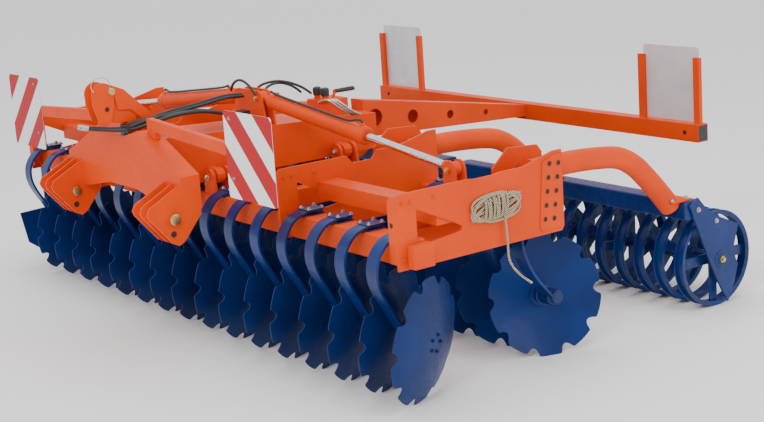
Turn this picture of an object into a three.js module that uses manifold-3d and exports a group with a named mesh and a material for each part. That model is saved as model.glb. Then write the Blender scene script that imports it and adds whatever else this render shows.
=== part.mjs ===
// Folding disc harrow: a centre frame with a three-point headstock, two wings that fold up
// about pins beside it, two rows of notched discs on spring arms, and a ring roller per wing.
// Millimetres. +X is the machine's left, +Y its rear, +Z up, with the ground at z = 0.
import * as THREE from "three";
import { mergeVertices } from "three/addons/utils/BufferGeometryUtils.js";
import Module from "manifold-3d";

const wasm = await Module();
wasm.setup();

// Driving dimensions, in millimetres and degrees.
const seatGap = 0.3; // between pieces that touch
const swingGap = 15; // beside a piece that swings
const plate = 12; // thickness of cut plates

const discsPerWing = 8; // in each row
const discPitch = 250; // from disc to disc along a row
const discRadius = 305;
const discDepth = 62; // from the rim to the flat of the dish
const discFlat = 100; // radius of the flat middle
const discPlate = 6;
const notchCount = 10;
const notchDepth = 36;
const toothShare = 0.62; // share of the rim that the teeth take
const discLean = 8; // the rim's top leans towards the convex side
const frontTurn = 24; // front discs face left and forward
const rearTurn = 162; // rear discs face right and forward
const flangeRadius = 62;
const flangeReach = 26;

const frontArmX = 1875; // outermost left arm of the front row
const rearArmX = 1913;
const frontHubReach = 97; // from the arm to the rim's plane, along the hub
const rearHubReach = 80;
const hubRadius = 40;
const hubTail = 32;
const armWidth = 80;
const armPlate = 14;
const frontSetback = -18; // the hub's place behind the beam's middle
const rearSetback = 22;
const clampHeight = 30;

const beamSize = 120;
const beamBottom = 655;
const frontBeamY = 40; // middle of the front beam
const rowSpacing = 830; // from beam to beam
const beamInner = 20; // inner end of the wing's beams
const wingOuter = 1980; // outer face of the outer side plate
const midPlateX = 1010; // middle of the inner side plate
const sideTop = 1000;
const sideBottom = 650;
const sideFront = -68;
const sideRear = 935;
const gussetTop = 1046; // where the plates rise beside the roller arms
const cheekRear = 1020;
const cylinderDip = 42; // in the inner plate, under the folded cylinder
const upperBeam = { front: 170, rear: 290, bottom: 815, top: 900 };
const stayX = 1750; // fore-and-aft member under the cylinder's lug
const stayWidth = 76;
const innerStayX = 500;
const cheekInset = 235; // from a side plate to the inner cheek beside it

const pivotX = 250;
const pivotZ = 860;
const pivotPin = 20; // radius
const lugRadius = 44;
const lugPlate = 20;
const foldAnchor = { x: 100, z: 1210 };
const foldLug = { x: 1765, z: 1007 };
const foldY = 450;
const deflectorX = 2062; // outer face of the side deflector
const earRadius = 44;
const earSpread = 46; // clear width between a pair of ears
const eyePlay = 0.5; // on each side of an eye
const runningPlay = 0.1; // round a pin that turns
const foldPin = 14; // radius
const barrelRadius = 39;
const barrelStart = 100; // from the anchor pin
const barrelLength = 880;
const barrelBore = 610; // room for the rod when the wing is up
const rodRadius = 20;

const towerHalf = 185;
const towerFrontTop = 1100;
const towerRearTop = 1030;
const towerBottom = 825;
const towerRear = 1150;
const headFront = -400;
const headRear = -290;
const hitchX = 560; // middle plate of a lower clevis
const hitchSpread = 80; // from plate to plate
const hitchPin = { y: -461, z: 773 };
const hitchPinRadius = 18;
const topLink = { y: -435, z: 1364 };
const topLinkSpread = 60;

const carrierHalf = 60;
const carrierWall = 8;
const lightBarHalf = 1500;
const lightBar = { front: 2410, rear: 2490, bottom: 785, top: 885 };
const signSize = 423;
const signPlate = 4;
const rearSignX = 1262; // middle of a rear sign
const postTop = 1345;

const panelY = -356;
const panelBottom = 922;
const panelArm = { inner: 250, outer: 1130, depth: 40, height: 60, innerZ: 1170, outerZ: 1115 };
const shoulder = { x: 220, z: 1165 }; // top of the girder's shoulder
const girderTop = 1127; // in the recess between the shoulders
const girderEnd = 972; // top of the girder's ends

const hoseRadius = 11;
const hoseSpacing = 23;
const ropeRadius = 13;
const valve = { front: 860, rear: 1030, half: 85, top: 1128 };

const neckRadius = 57;
const outerNeckX = 1850;
const innerNeckX = 900;
const rollerY = 2070;
const rollerRadius = 270;
const rollerInner = 80; // inner end of the cage
const rollerOuter = 1920;
const ringCount = 13;
const ringSides = 12;
const spokeWidth = 50;
const ringWidth = 36;
const ringDepth = 34;
const shaftRadius = 30;
const journalRadius = 22;
const endPlate = 14;
const rollerBeam = { front: 1820, rear: 1930, bottom: 512, top: 612 };

const orange = new THREE.MeshStandardMaterial({ color: 0xe8541f, roughness: 0.45, metalness: 0.1 });
const blue = new THREE.MeshStandardMaterial({ color: 0x1f3c78, roughness: 0.4, metalness: 0.15 });
const chrome = new THREE.MeshStandardMaterial({ color: 0xd5d8dc, roughness: 0.15, metalness: 1 });
const signBack = new THREE.MeshStandardMaterial({ color: 0xbcc4cc, roughness: 0.5, metalness: 0.4 });
const signRed = new THREE.MeshStandardMaterial({ color: 0xc8202f, roughness: 0.4, metalness: 0 });
const rubber = new THREE.MeshStandardMaterial({ color: 0x16171a, roughness: 0.7, metalness: 0 });
const rope = new THREE.MeshStandardMaterial({ color: 0xa38a5e, roughness: 0.9, metalness: 0 });

// Places that follow from the driving dimensions.
const beamTop = beamBottom + beamSize;
const beamMid = beamBottom + beamSize / 2;
const rearBeamY = frontBeamY + rowSpacing;
const toothHalf = (Math.PI / notchCount) * toothShare;
const lean = THREE.MathUtils.degToRad(discLean);
const discHeight = discRadius * Math.cos(lean) * Math.cos(toothHalf);
const rollerZ = rollerRadius * Math.cos(Math.PI / ringSides);
const beamOuter = wingOuter - plate - seatGap;
const eyeHalf = earSpread / 2 - eyePlay;

// A closed three.js geometry as a solid that can be joined and cut.
function solidOf(geometry) {
  geometry.deleteAttribute("normal");
  geometry.deleteAttribute("uv");
  const merged = mergeVertices(geometry, 1e-3);
  return new wasm.Manifold(
    new wasm.Mesh({
      numProp: 3,
      vertProperties: new Float32Array(merged.attributes.position.array),
      triVerts: new Uint32Array(merged.index.array),
    }),
  );
}

function geometryOf(solid) {
  const mesh = solid.getMesh();
  const geometry = new THREE.BufferGeometry();
  geometry.setAttribute("position", new THREE.BufferAttribute(mesh.vertProperties, 3));
  geometry.setIndex(new THREE.BufferAttribute(mesh.triVerts, 1));
  geometry.computeVertexNormals();
  return geometry;
}

// The radius of a twelve-sided bore in which a twelve-sided pin of this radius turns.
function boreFor(pinRadius) {
  return (pinRadius + runningPlay) / Math.cos(Math.PI / 12);
}

function towerTopAt(y) {
  const share = (y - headRear) / (towerRear - headRear);
  return towerFrontTop + (towerRearTop - towerFrontTop) * share;
}

function join(...solids) {
  return solids.reduce((whole, next) => whole.add(next));
}

function block(xa, xb, ya, yb, za, zb) {
  const box = new THREE.BoxGeometry(Math.abs(xb - xa), Math.abs(yb - ya), Math.abs(zb - za));
  box.translate((xa + xb) / 2, (ya + yb) / 2, (za + zb) / 2);
  return solidOf(box);
}

function outline(points) {
  return new THREE.Shape(points.map(([u, v]) => new THREE.Vector2(u, v)));
}

function extruded(shape, depth) {
  return new THREE.ExtrudeGeometry(shape, { depth, bevelEnabled: false, curveSegments: 6 });
}

// A plate standing across X, drawn in (y, z).
function plateAcrossX(points, xa, xb) {
  return shapeAcrossX(outline(points), xa, xb);
}

function shapeAcrossX(shape, xa, xb) {
  const geometry = extruded(shape, Math.abs(xb - xa));
  const turn = new THREE.Matrix4().makeBasis(
    new THREE.Vector3(0, 1, 0),
    new THREE.Vector3(0, 0, 1),
    new THREE.Vector3(1, 0, 0),
  );
  geometry.applyMatrix4(turn);
  geometry.translate(Math.min(xa, xb), 0, 0);
  return solidOf(geometry);
}

// A plate standing across Y, drawn in (x, z).
function plateAcrossY(points, ya, yb) {
  const geometry = extruded(outline(points), Math.abs(yb - ya));
  geometry.rotateX(Math.PI / 2);
  geometry.translate(0, Math.max(ya, yb), 0);
  return solidOf(geometry);
}

function bar(from, to, radius, sides = 10) {
  const a = new THREE.Vector3(...from);
  const b = new THREE.Vector3(...to);
  const along = b.clone().sub(a);
  const geometry = new THREE.CylinderGeometry(radius, radius, along.length(), sides);
  const turn = new THREE.Quaternion().setFromUnitVectors(
    new THREE.Vector3(0, 1, 0),
    along.clone().normalize(),
  );
  geometry.applyQuaternion(turn);
  const middle = a.add(b).multiplyScalar(0.5);
  geometry.translate(middle.x, middle.y, middle.z);
  return solidOf(geometry);
}

function tube(points, radius, steps, sides = 8) {
  const path = new THREE.CatmullRomCurve3(
    points.map((point) => new THREE.Vector3(...point)),
    false,
    "centripetal",
  );
  const section = new THREE.Shape();
  for (let side = 0; side < sides; side += 1) {
    const angle = (2 * Math.PI * side) / sides;
    const u = radius * Math.cos(angle);
    const v = radius * Math.sin(angle);
    if (side === 0) {
      section.moveTo(u, v);
    } else {
      section.lineTo(u, v);
    }
  }
  return solidOf(
    new THREE.ExtrudeGeometry(section, { steps, bevelEnabled: false, extrudePath: path }),
  );
}

// Points round part of a circle, for the rounded end of a lug.
function arcPoints(u, v, radius, fromDeg, toDeg, steps) {
  const points = [];
  for (let i = 0; i <= steps; i += 1) {
    const angle = THREE.MathUtils.degToRad(fromDeg + ((toDeg - fromDeg) * i) / steps);
    points.push([u + radius * Math.cos(angle), v + radius * Math.sin(angle)]);
  }
  return points;
}

// A strip of the given thickness along a smooth line through points in (y, z).
function stripOutline(points, thickness, steps) {
  const line = new THREE.SplineCurve(points.map(([u, v]) => new THREE.Vector2(u, v)));
  const front = [];
  const back = [];
  for (let i = 0; i <= steps; i += 1) {
    const at = line.getPoint(i / steps);
    const along = line.getTangent(i / steps);
    const across = new THREE.Vector2(-along.y, along.x).multiplyScalar(thickness / 2);
    front.push([at.x + across.x, at.y + across.y]);
    back.unshift([at.x - across.x, at.y - across.y]);
  }
  return [...front, ...back];
}

// The direction in which a disc bulges.
function discDirection(turnDeg) {
  const turn = THREE.MathUtils.degToRad(turnDeg);
  return new THREE.Vector3(
    Math.cos(turn) * Math.cos(lean),
    Math.sin(turn) * Math.cos(lean),
    -Math.sin(lean),
  );
}

const rows = {
  front: {
    armX: frontArmX,
    beamY: frontBeamY,
    setback: frontSetback,
    reach: frontHubReach,
    direction: discDirection(frontTurn),
  },
  rear: {
    armX: rearArmX,
    beamY: rearBeamY,
    setback: rearSetback,
    reach: rearHubReach,
    direction: discDirection(rearTurn),
  },
};

function discCentre(row, index) {
  const hub = armEnd(row, index);
  return new THREE.Vector3(...hub).addScaledVector(row.direction, row.reach);
}

function armEnd(row, index) {
  const x = row.armX - index * discPitch;
  return [x, row.beamY + row.setback, discHeight - row.reach * row.direction.z];
}

// Lifts a flat plate into the dish: level in the middle, falling to the rim.
function dished(shape) {
  const geometry = extruded(shape, discPlate);
  const position = geometry.attributes.position;
  for (let i = 0; i < position.count; i += 1) {
    const radius = Math.max(discFlat, Math.hypot(position.getX(i), position.getY(i)));
    const rise = (discDepth * (discRadius - radius)) / (discRadius - discFlat);
    position.setZ(i, position.getZ(i) + rise - discPlate);
  }
  return solidOf(geometry);
}

// One notched dish with its hub flange, bulging along +Z from the rim's plane.
function discGeometry() {
  const rim = [];
  for (let i = 0; i < notchCount; i += 1) {
    const middle = (2 * Math.PI * i) / notchCount - Math.PI / 2;
    const notch = middle + Math.PI / notchCount;
    const inner = discRadius - notchDepth;
    rim.push([discRadius * Math.cos(middle - toothHalf), discRadius * Math.sin(middle - toothHalf)]);
    rim.push([discRadius * Math.cos(middle + toothHalf), discRadius * Math.sin(middle + toothHalf)]);
    rim.push([inner * Math.cos(notch), inner * Math.sin(notch)]);
  }
  const flatEdge = arcPoints(0, 0, discFlat, 0, 324, 9);
  const ring = outline(rim);
  ring.holes.push(new THREE.Path(flatEdge.map(([u, v]) => new THREE.Vector2(u, v))));
  const flange = bar(
    [0, 0, discDepth - flangeReach],
    [0, 0, discDepth - discPlate / 2],
    flangeRadius,
    8,
  );
  return geometryOf(join(dished(ring), dished(outline(flatEdge)), flange));
}

// A spring arm: over the beam, forward in a bow, then down and back to the hub.
function springArm(row, index) {
  const [x, endY, endZ] = armEnd(row, index);
  const y = row.beamY;
  const path = [
    [y + 52, beamTop + 13],
    [y - 30, beamTop + 19],
    [y - 110, beamTop - 4],
    [y - 168, beamTop - 72],
    [y - 182, beamTop - 150],
    [y - 160, beamTop - 232],
    [y - 100, endZ + 128],
    [endY, endZ - 12],
  ];
  const half = armWidth / 2;
  const strip = plateAcrossX(stripOutline(path, armPlate, 9), x - half, x + half);
  const clamp = block(
    x - half - 8,
    x + half + 8,
    y - 42,
    y + 60,
    beamTop - 4,
    beamTop + clampHeight,
  );
  const centre = discCentre(row, index);
  const inner = centre
    .clone()
    .addScaledVector(row.direction, discDepth - flangeReach - seatGap);
  const tail = new THREE.Vector3(x, endY, endZ).addScaledVector(row.direction, -hubTail);
  const hub = bar(tail.toArray(), inner.toArray(), hubRadius, 8);
  return join(strip, clamp, hub);
}

// The wing's half of a fold hinge: two plates that stand on the beam.
function hingeLugs(side, beamY) {
  const half = beamSize / 2;
  const shape = [
    ...arcPoints(side * pivotX, pivotZ, lugRadius, 0, 180, 6),
    [side * pivotX - lugRadius, beamTop - 5],
    [side * pivotX + lugRadius, beamTop - 5],
  ];
  const frontLug = plateAcrossY(shape, beamY - half, beamY - half + lugPlate);
  const rearLug = plateAcrossY(shape, beamY + half - lugPlate, beamY + half);
  const bore = bar(
    [side * pivotX, beamY - half - 5, pivotZ],
    [side * pivotX, beamY + half + 5, pivotZ],
    boreFor(pivotPin),
    12,
  );
  return join(frontLug, rearLug).subtract(bore);
}

function wingIndices(side) {
  const first = side > 0 ? 0 : discsPerWing;
  return Array.from({ length: discsPerWing }, (unused, i) => first + i);
}

// A beam with its eight arms and hubs and its half of the hinge.
function discGang(side, row) {
  const half = beamSize / 2;
  const beam = block(
    side * beamInner,
    side * beamOuter,
    row.beamY - half,
    row.beamY + half,
    beamBottom,
    beamTop,
  );
  const arms = wingIndices(side).map((index) => springArm(row, index));
  return join(beam, hingeLugs(side, row.beamY), ...arms);
}

function frontGang(side) {
  const stay = block(
    side * (innerStayX - 40),
    side * (innerStayX + 40),
    frontBeamY,
    rearBeamY - beamSize / 2 - seatGap,
    beamBottom + 8,
    beamTop - 8,
  );
  return join(discGang(side, rows.front), stay);
}

// Outline of a side plate in (y, z), dipping under the fold cylinder.
function sidePlateOutline(dip) {
  return [
    [sideFront, sideBottom],
    [sideFront, sideTop - 15],
    [sideFront + 20, sideTop],
    [foldY - 95, sideTop],
    [foldY - 60, sideTop - dip],
    [foldY + 60, sideTop - dip],
    [foldY + 95, sideTop],
    [690, sideTop],
    [880, gussetTop],
    [sideRear, gussetTop],
    [sideRear, sideBottom + 22],
    [sideRear - 15, sideBottom],
  ];
}

// Side plates, the upper beam between them, the lug's stay and the roller arms' cheeks.
function wingFrame(side) {
  const plates = [
    [midPlateX, cylinderDip],
    [wingOuter - plate / 2, 6],
  ].map(([x, dip]) =>
    plateAcrossX(sidePlateOutline(dip), side * (x - plate / 2), side * (x + plate / 2)),
  );
  const window = plateAcrossX(
    [
      [70, 800],
      [70, 850],
      [140, 850],
      [155, 800],
    ],
    side * (wingOuter - 2 * plate),
    side * (wingOuter + plate),
  );
  const upper = block(
    side * midPlateX,
    side * (wingOuter - 2),
    upperBeam.front,
    upperBeam.rear,
    upperBeam.bottom,
    upperBeam.top,
  );
  const stay = block(
    side * (stayX - stayWidth / 2),
    side * (stayX + stayWidth / 2),
    frontBeamY + beamSize / 2 + seatGap,
    rearBeamY - beamSize / 2 - seatGap,
    beamBottom + 8,
    beamTop - 8,
  );
  const riser = plateAcrossX(
    [
      [upperBeam.front + 5, beamTop - 60],
      [upperBeam.front + 5, upperBeam.bottom + 20],
      [upperBeam.rear - 5, upperBeam.bottom + 20],
      [upperBeam.rear + 80, beamTop - 60],
    ],
    side * (stayX - 25),
    side * (stayX + 25),
  );
  const cheekShape = [
    [700, beamTop - 40],
    [700, 960],
    [800, gussetTop],
    [cheekRear - 30, gussetTop - 12],
    [cheekRear, gussetTop - 50],
    [cheekRear, 880],
    [945, beamBottom + 60],
  ];
  const pockets = [midPlateX, wingOuter].flatMap((x) => [
    plateAcrossX(cheekShape, side * (x - cheekInset - plate), side * (x - cheekInset)),
    block(side * (x - cheekInset - plate), side * (x - 2), 705, 745, 810, 850),
  ]);
  const ears = [-1, 1].map((way) =>
    plateAcrossY(
      lugOutline(side),
      foldY + (way * earSpread) / 2,
      foldY + way * (earSpread / 2 + plate),
    ),
  );
  const pinEnds = [-1, 1].map((way) =>
    bar(
      [side * foldLug.x, foldY + way * (earSpread / 2 + 2), foldLug.z],
      [side * foldLug.x, foldY + way * (earSpread / 2 + plate + 10), foldLug.z],
      foldPin,
      12,
    ),
  );
  const beams = [frontBeamY, rearBeamY].map((y) =>
    block(
      side * (beamInner - 5),
      side * (beamOuter + seatGap),
      y - beamSize / 2 - seatGap,
      y + beamSize / 2 + seatGap,
      beamBottom - seatGap,
      beamTop + seatGap,
    ),
  );
  const whole = join(...plates, upper, stay, riser, ...pockets, ...ears, ...pinEnds);
  return beams.reduce((rest, beam) => rest.subtract(beam), whole.subtract(window));
}

// An ear of the cylinder's lug in (x, z), running down onto the stay.
function lugOutline(side) {
  const round = arcPoints(side * foldLug.x, foldLug.z, earRadius, 0, 180, 6);
  const foot = beamTop - 20;
  return [
    ...round,
    [side * foldLug.x - earRadius - 12, foot],
    [side * foldLug.x + earRadius + 12, foot],
  ];
}

// Arched roller arms, the beam that they carry, and the plates that hold the roller's bearings.
function rollerFrame(side) {
  const neckPath = [
    [835, 938],
    [1100, 938],
    [1300, 925],
    [1440, 901],
    [1545, 845],
    [1630, 768],
    [1715, 680],
    [1800, 585],
  ];
  const pieces = [];
  for (const [x, plateX] of [
    [innerNeckX, midPlateX - plate / 2],
    [outerNeckX, wingOuter - plate],
  ]) {
    const points = neckPath.map(([y, z]) => [side * x, y, z]);
    const cheekX = plateX + (plateX < midPlateX ? plate / 2 : plate) - cheekInset;
    pieces.push(tube(points, neckRadius, 9, 8));
    pieces.push(
      bar([side * (cheekX + seatGap), 870, 938], [side * (plateX - seatGap), 870, 938], 24, 10),
    );
    pieces.push(
      block(side * (x - 75), side * (x + 75), 1740, 1875, rollerBeam.top - 6, rollerBeam.top + 14),
    );
  }
  const beam = block(
    side * (rollerInner - 30),
    side * (rollerOuter + 30),
    rollerBeam.front,
    rollerBeam.rear,
    rollerBeam.bottom,
    rollerBeam.top,
  );
  const outerShape = [
    [1844, 588],
    [1908, 625],
    [1970, 556],
    [2058, 498],
    [2214, 427],
    [2171, 289],
    [2206, 207],
    [2173, 103],
    [2123, 14],
    [2036, 160],
    [1962, 313],
    [1903, 452],
  ];
  const innerShape = [
    [1850, 520],
    [1850, 600],
    [1925, 600],
    [2110, 330],
    [2115, 220],
    [2030, 205],
  ];
  const ends = [
    plateAcrossX(innerShape, side * (rollerInner - 30), side * (rollerInner - 30 + endPlate)),
    plateAcrossX(outerShape, side * (rollerOuter + 30 - endPlate), side * (rollerOuter + 30)),
  ];
  const bore = bar(
    [side * (rollerInner - 40), rollerY, rollerZ],
    [side * (rollerOuter + 40), rollerY, rollerZ],
    boreFor(journalRadius),
    12,
  );
  return join(beam, ...pieces, ...ends).subtract(bore);
}

// One ring in (y, z) with a spoke across it, turned by a quarter on every other ring.
function ringOutline(quarter) {
  const half = Math.PI / ringSides;
  const inner = rollerRadius - ringDepth;
  const circle = (radius) =>
    Array.from({ length: ringSides }, (unused, k) => {
      const angle = 2 * half * k + half;
      return [radius * Math.cos(angle), radius * Math.sin(angle)];
    });
  const spoke = spokeWidth / 2;
  const halfHole = circle(inner).filter(([, v]) => v > spoke);
  const reach = Math.sqrt(inner * inner * Math.cos(half) ** 2 - spoke * spoke);
  const turned = quarter ? ([u, v]) => [-v, u] : ([u, v]) => [u, v];
  const toRoller = ([u, v]) => [rollerY + u, rollerZ + v];
  const upper = [[reach, spoke], ...halfHole, [-reach, spoke]];
  const lower = upper.map(([u, v]) => [-u, -v]);
  const shape = outline(circle(rollerRadius).map(turned).map(toRoller));
  for (const hole of [upper, lower]) {
    const points = hole.map(turned).map(toRoller);
    shape.holes.push(new THREE.Path(points.map(([u, v]) => new THREE.Vector2(u, v))));
  }
  return shape;
}

// The roller: rings on a shaft, each with a flat spoke.
function roller(side) {
  const along = (inner, outer, radius) =>
    bar([side * inner, rollerY, rollerZ], [side * outer, rollerY, rollerZ], radius, 12);
  const shaft = along(rollerInner - 10, rollerOuter + 10, shaftRadius);
  const journals = along(rollerInner - 28, rollerOuter + 28, journalRadius);
  const pieces = [shaft, journals];
  const step = (rollerOuter - rollerInner - ringWidth) / (ringCount - 1);
  for (let i = 0; i < ringCount; i += 1) {
    const x = rollerInner + i * step;
    pieces.push(shapeAcrossX(ringOutline(i % 2 === 1), side * x, side * (x + ringWidth)));
  }
  return join(...pieces);
}

// The centre box over the hinges, its lugs and pins, and the ears that anchor the cylinders.
function centreFrame() {
  const front = headRear + seatGap;
  const box = plateAcrossX(
    [
      [front, towerBottom],
      [front, towerFrontTop],
      [towerRear, towerRearTop],
      [towerRear, towerBottom],
    ],
    -towerHalf,
    towerHalf,
  );
  const pieces = [box];
  const lugHalf = beamSize / 2 - lugPlate - swingGap;
  for (const side of [-1, 1]) {
    for (const y of [frontBeamY, rearBeamY]) {
      const arm = block(
        side * (towerHalf - 5),
        side * pivotX,
        y - lugHalf,
        y + lugHalf,
        pivotZ - lugRadius + 4,
        pivotZ + lugRadius - 4,
      );
      const boss = bar(
        [side * pivotX, y - lugHalf, pivotZ],
        [side * pivotX, y + lugHalf, pivotZ],
        lugRadius - 4,
        10,
      );
      const pin = bar(
        [side * pivotX, y - beamSize / 2 - 8, pivotZ],
        [side * pivotX, y + beamSize / 2 + 8, pivotZ],
        pivotPin,
        12,
      );
      pieces.push(arm, boss, pin);
    }
  }
  const ear = [
    [-foldAnchor.x - 75, towerTopAt(foldY) - 25],
    [foldAnchor.x + 75, towerTopAt(foldY) - 25],
    ...arcPoints(foldAnchor.x, foldAnchor.z, earRadius, -20, 90, 4),
    ...arcPoints(-foldAnchor.x, foldAnchor.z, earRadius, 90, 200, 4),
  ];
  for (const way of [-1, 1]) {
    pieces.push(
      plateAcrossY(ear, foldY + (way * earSpread) / 2, foldY + way * (earSpread / 2 + plate)),
    );
  }
  for (const side of [-1, 1]) {
    pieces.push(
      bar(
        [side * foldAnchor.x, foldY - earSpread / 2 - plate - 10, foldAnchor.z],
        [side * foldAnchor.x, foldY + earSpread / 2 + plate + 10, foldAnchor.z],
        foldPin,
        12,
      ),
    );
  }
  return join(...pieces);
}

// The cross girder with sloping shoulders and the two lower clevises.
function headstock() {
  const outer = hitchX + hitchSpread;
  const girder = plateAcrossY(
    [
      [-outer, girderEnd],
      [-shoulder.x, shoulder.z],
      [-70, girderTop],
      [70, girderTop],
      [shoulder.x, shoulder.z],
      [outer, girderEnd],
      [outer, 800],
      [hitchX - hitchSpread - 60, 800],
      [160, 851],
      [-160, 851],
      [-hitchX + hitchSpread + 60, 800],
      [-outer, 800],
    ],
    headFront,
    headRear,
  );
  const clevis = [
    [headRear - 8, 954],
    [headFront - 20, 930],
    [-585, 845],
    [-600, 815],
    [-590, 790],
    [-470, 645],
    [-437, 629],
    [-405, 645],
    [headRear - 8, 770],
  ];
  const pieces = [girder];
  for (const side of [-1, 1]) {
    for (const step of [-1, 0, 1]) {
      const x = hitchX + step * hitchSpread;
      const inner = step === 1 ? x - plate : x - plate / 2;
      pieces.push(plateAcrossX(clevis, side * inner, side * (inner + plate)));
    }
    pieces.push(
      bar(
        [side * (hitchX - hitchSpread - 20), hitchPin.y, hitchPin.z],
        [side * (hitchX + hitchSpread + 18), hitchPin.y, hitchPin.z],
        hitchPinRadius,
        10,
      ),
    );
  }
  return join(...pieces);
}

// Two plates on the girder with the upper link's pin.
function topLinkBracket() {
  const foot = girderTop + seatGap;
  const cheek = [
    [-342, foot],
    [-352, 1192],
    [-415, 1192],
    [topLink.y - 38, 1225],
    [topLink.y - 34, topLink.z],
    ...arcPoints(topLink.y, topLink.z, 34, 150, 30, 4),
    [topLink.y + 45, 1285],
    [-300, 1230],
    [headRear - 12, foot],
  ];
  const pieces = [-1, 1].map((way) =>
    plateAcrossX(
      cheek,
      (way * topLinkSpread) / 2 - plate / 2,
      (way * topLinkSpread) / 2 + plate / 2,
    ),
  );
  const half = topLinkSpread / 2 + plate / 2 + 14;
  const pin = bar([-half, topLink.y, topLink.z], [half, topLink.y, topLink.z], 13, 10);
  const web = block(-topLinkSpread / 2, topLinkSpread / 2, -330, -318, foot + 5, 1215);
  return join(...pieces, pin, web);
}

// A tapered channel behind the centre frame, open below, with four holes in its sides.
function lightBarCarrier() {
  const front = towerRear + seatGap;
  const rear = lightBar.front - seatGap;
  const skin = plateAcrossX(
    [
      [front, 870],
      [front, 1092],
      [rear, 878],
      [rear, 806],
    ],
    -carrierHalf,
    carrierHalf,
  );
  const hollow = plateAcrossX(
    [
      [front + carrierWall, 780],
      [front + carrierWall, 1092 - carrierWall],
      [rear - carrierWall, 878 - carrierWall],
      [rear - carrierWall, 780],
    ],
    -carrierHalf + carrierWall,
    carrierHalf - carrierWall,
  );
  const holes = [
    [1232, 973, 55],
    [1512, 942, 40],
    [1798, 911, 26],
    [2080, 882, 18],
  ].map(([y, z, radius]) =>
    bar([-carrierHalf - 1, y, z], [carrierHalf + 1, y, z], radius, 12),
  );
  return holes.reduce((rest, hole) => rest.subtract(hole), skin.subtract(hollow));
}

// The bar across the back and the posts of its two signs.
function lightBarWithPosts() {
  const pieces = [
    block(
      -lightBarHalf,
      lightBarHalf,
      lightBar.front,
      lightBar.rear,
      lightBar.bottom,
      lightBar.top,
    ),
  ];
  for (const side of [-1, 1]) {
    for (const way of [-1, 1]) {
      const x = side * rearSignX + (way * signSize) / 2;
      pieces.push(
        block(x - 22, x + 22, lightBar.front + 20, lightBar.front + 45, lightBar.top - 1, postTop),
      );
    }
  }
  return join(...pieces);
}

function rearSign(side) {
  const x = side * rearSignX;
  const front = lightBar.front + 45 + seatGap;
  return block(
    x - signSize / 2,
    x + signSize / 2,
    front,
    front + signPlate,
    lightBar.top + 6,
    lightBar.top + 6 + signSize,
  );
}

// A warning panel on the arm that reaches out from the girder's shoulder.
function warningPanel(side) {
  const board = block(
    side * (rearSignX - signSize / 2),
    side * (rearSignX + signSize / 2),
    panelY - signPlate,
    panelY,
    panelBottom,
    panelBottom + signSize,
  );
  const outer = hitchX + hitchSpread;
  const onShoulder = (x) =>
    shoulder.z + ((girderEnd - shoulder.z) * (x - shoulder.x)) / (outer - shoulder.x) + 2 * seatGap;
  const { inner, height, innerZ, outerZ } = panelArm;
  const shape = [
    [inner, onShoulder(inner)],
    [inner + 70, onShoulder(inner + 70)],
    [inner + 80, innerZ - 10],
    [panelArm.outer, outerZ],
    [panelArm.outer, outerZ + height],
    [inner, innerZ + height],
  ].map(([x, z]) => [side * x, z]);
  return join(board, plateAcrossY(shape, panelY - 1, panelY + panelArm.depth));
}

// A cylinder from its anchor towards its lug: barrel with eye, and rod with eye.
function foldLine(side) {
  const anchor = new THREE.Vector3(side * foldAnchor.x, foldY, foldAnchor.z);
  const lug = new THREE.Vector3(side * foldLug.x, foldY, foldLug.z);
  const along = lug.clone().sub(anchor);
  const span = along.length();
  along.normalize();
  const point = (distance) => anchor.clone().addScaledVector(along, distance).toArray();
  return { anchor, lug, span, point };
}

function eye(centre, outerRadius) {
  const ring = bar(
    [centre.x, foldY - eyeHalf, centre.z],
    [centre.x, foldY + eyeHalf, centre.z],
    outerRadius,
    12,
  );
  const bore = bar(
    [centre.x, foldY - eyeHalf - 5, centre.z],
    [centre.x, foldY + eyeHalf + 5, centre.z],
    boreFor(foldPin),
    12,
  );
  return { ring, bore };
}

function foldBarrel(side) {
  const { anchor, point } = foldLine(side);
  const { ring, bore } = eye(anchor, 36);
  const neck = bar(point(20), point(barrelStart + 5), 19, 8);
  const barrel = bar(point(barrelStart), point(barrelStart + barrelLength), barrelRadius, 12);
  const rodBore = bar(
    point(barrelStart + barrelLength - barrelBore),
    point(barrelStart + barrelLength + 5),
    rodRadius + 1,
    12,
  );
  return join(ring, neck, barrel).subtract(bore).subtract(rodBore);
}

// The rod's eye keeps the middle of its pin, so that it can leave the lug.
function foldRod(side) {
  const { lug, span, point } = foldLine(side);
  const { ring } = eye(lug, 34);
  const rod = bar(point(barrelStart + barrelLength - 50), point(span - 15), rodRadius, 12);
  return join(ring, rod);
}

// A smooth plate outside the right front discs that keeps the soil in the row.
function sideDeflector() {
  const x = -deflectorX;
  const shape = plateAcrossX(
    [
      [-157, 357],
      [27, 365],
      [160, 372],
      [160, 95],
      [-9, 70],
      [-120, 154],
    ],
    x,
    x + 8,
  );
  const hanger = block(x + 7, x + 27, 20, 80, 300, 700);
  const foot = block(x + 7, -wingOuter - seatGap, 20, 80, 655, 700);
  return join(shape, hanger, foot);
}

// Three hoses clipped to the girder, running back over the frame to their end block.
function hoses() {
  const path = [
    [-15, -590, 1190],
    [10, -500, 1172],
    [52, -420, 1161],
    [92, -345, 1164],
    [120, -270, 1182],
    [140, -130, 1206],
    [128, 30, 1200],
    [95, 200, 1160],
    [48, 340, 1125],
  ];
  const pieces = [-1, 0, 1].map((step) =>
    tube(
      path.map(([x, y, z]) => [x + step * hoseSpacing, y, z]),
      hoseRadius,
      14,
      6,
    ),
  );
  const saddle = girderTop + 2 * seatGap;
  const clip = plateAcrossY(
    [
      [25, saddle],
      [70, saddle],
      [112, saddle + 11],
      [112, 1182],
      [25, 1182],
    ],
    headFront + 2,
    headFront + 28,
  );
  const endBlock = block(10, 86, 322, 372, towerTopAt(322) + seatGap, 1150);
  return join(...pieces, clip, endBlock);
}

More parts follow.
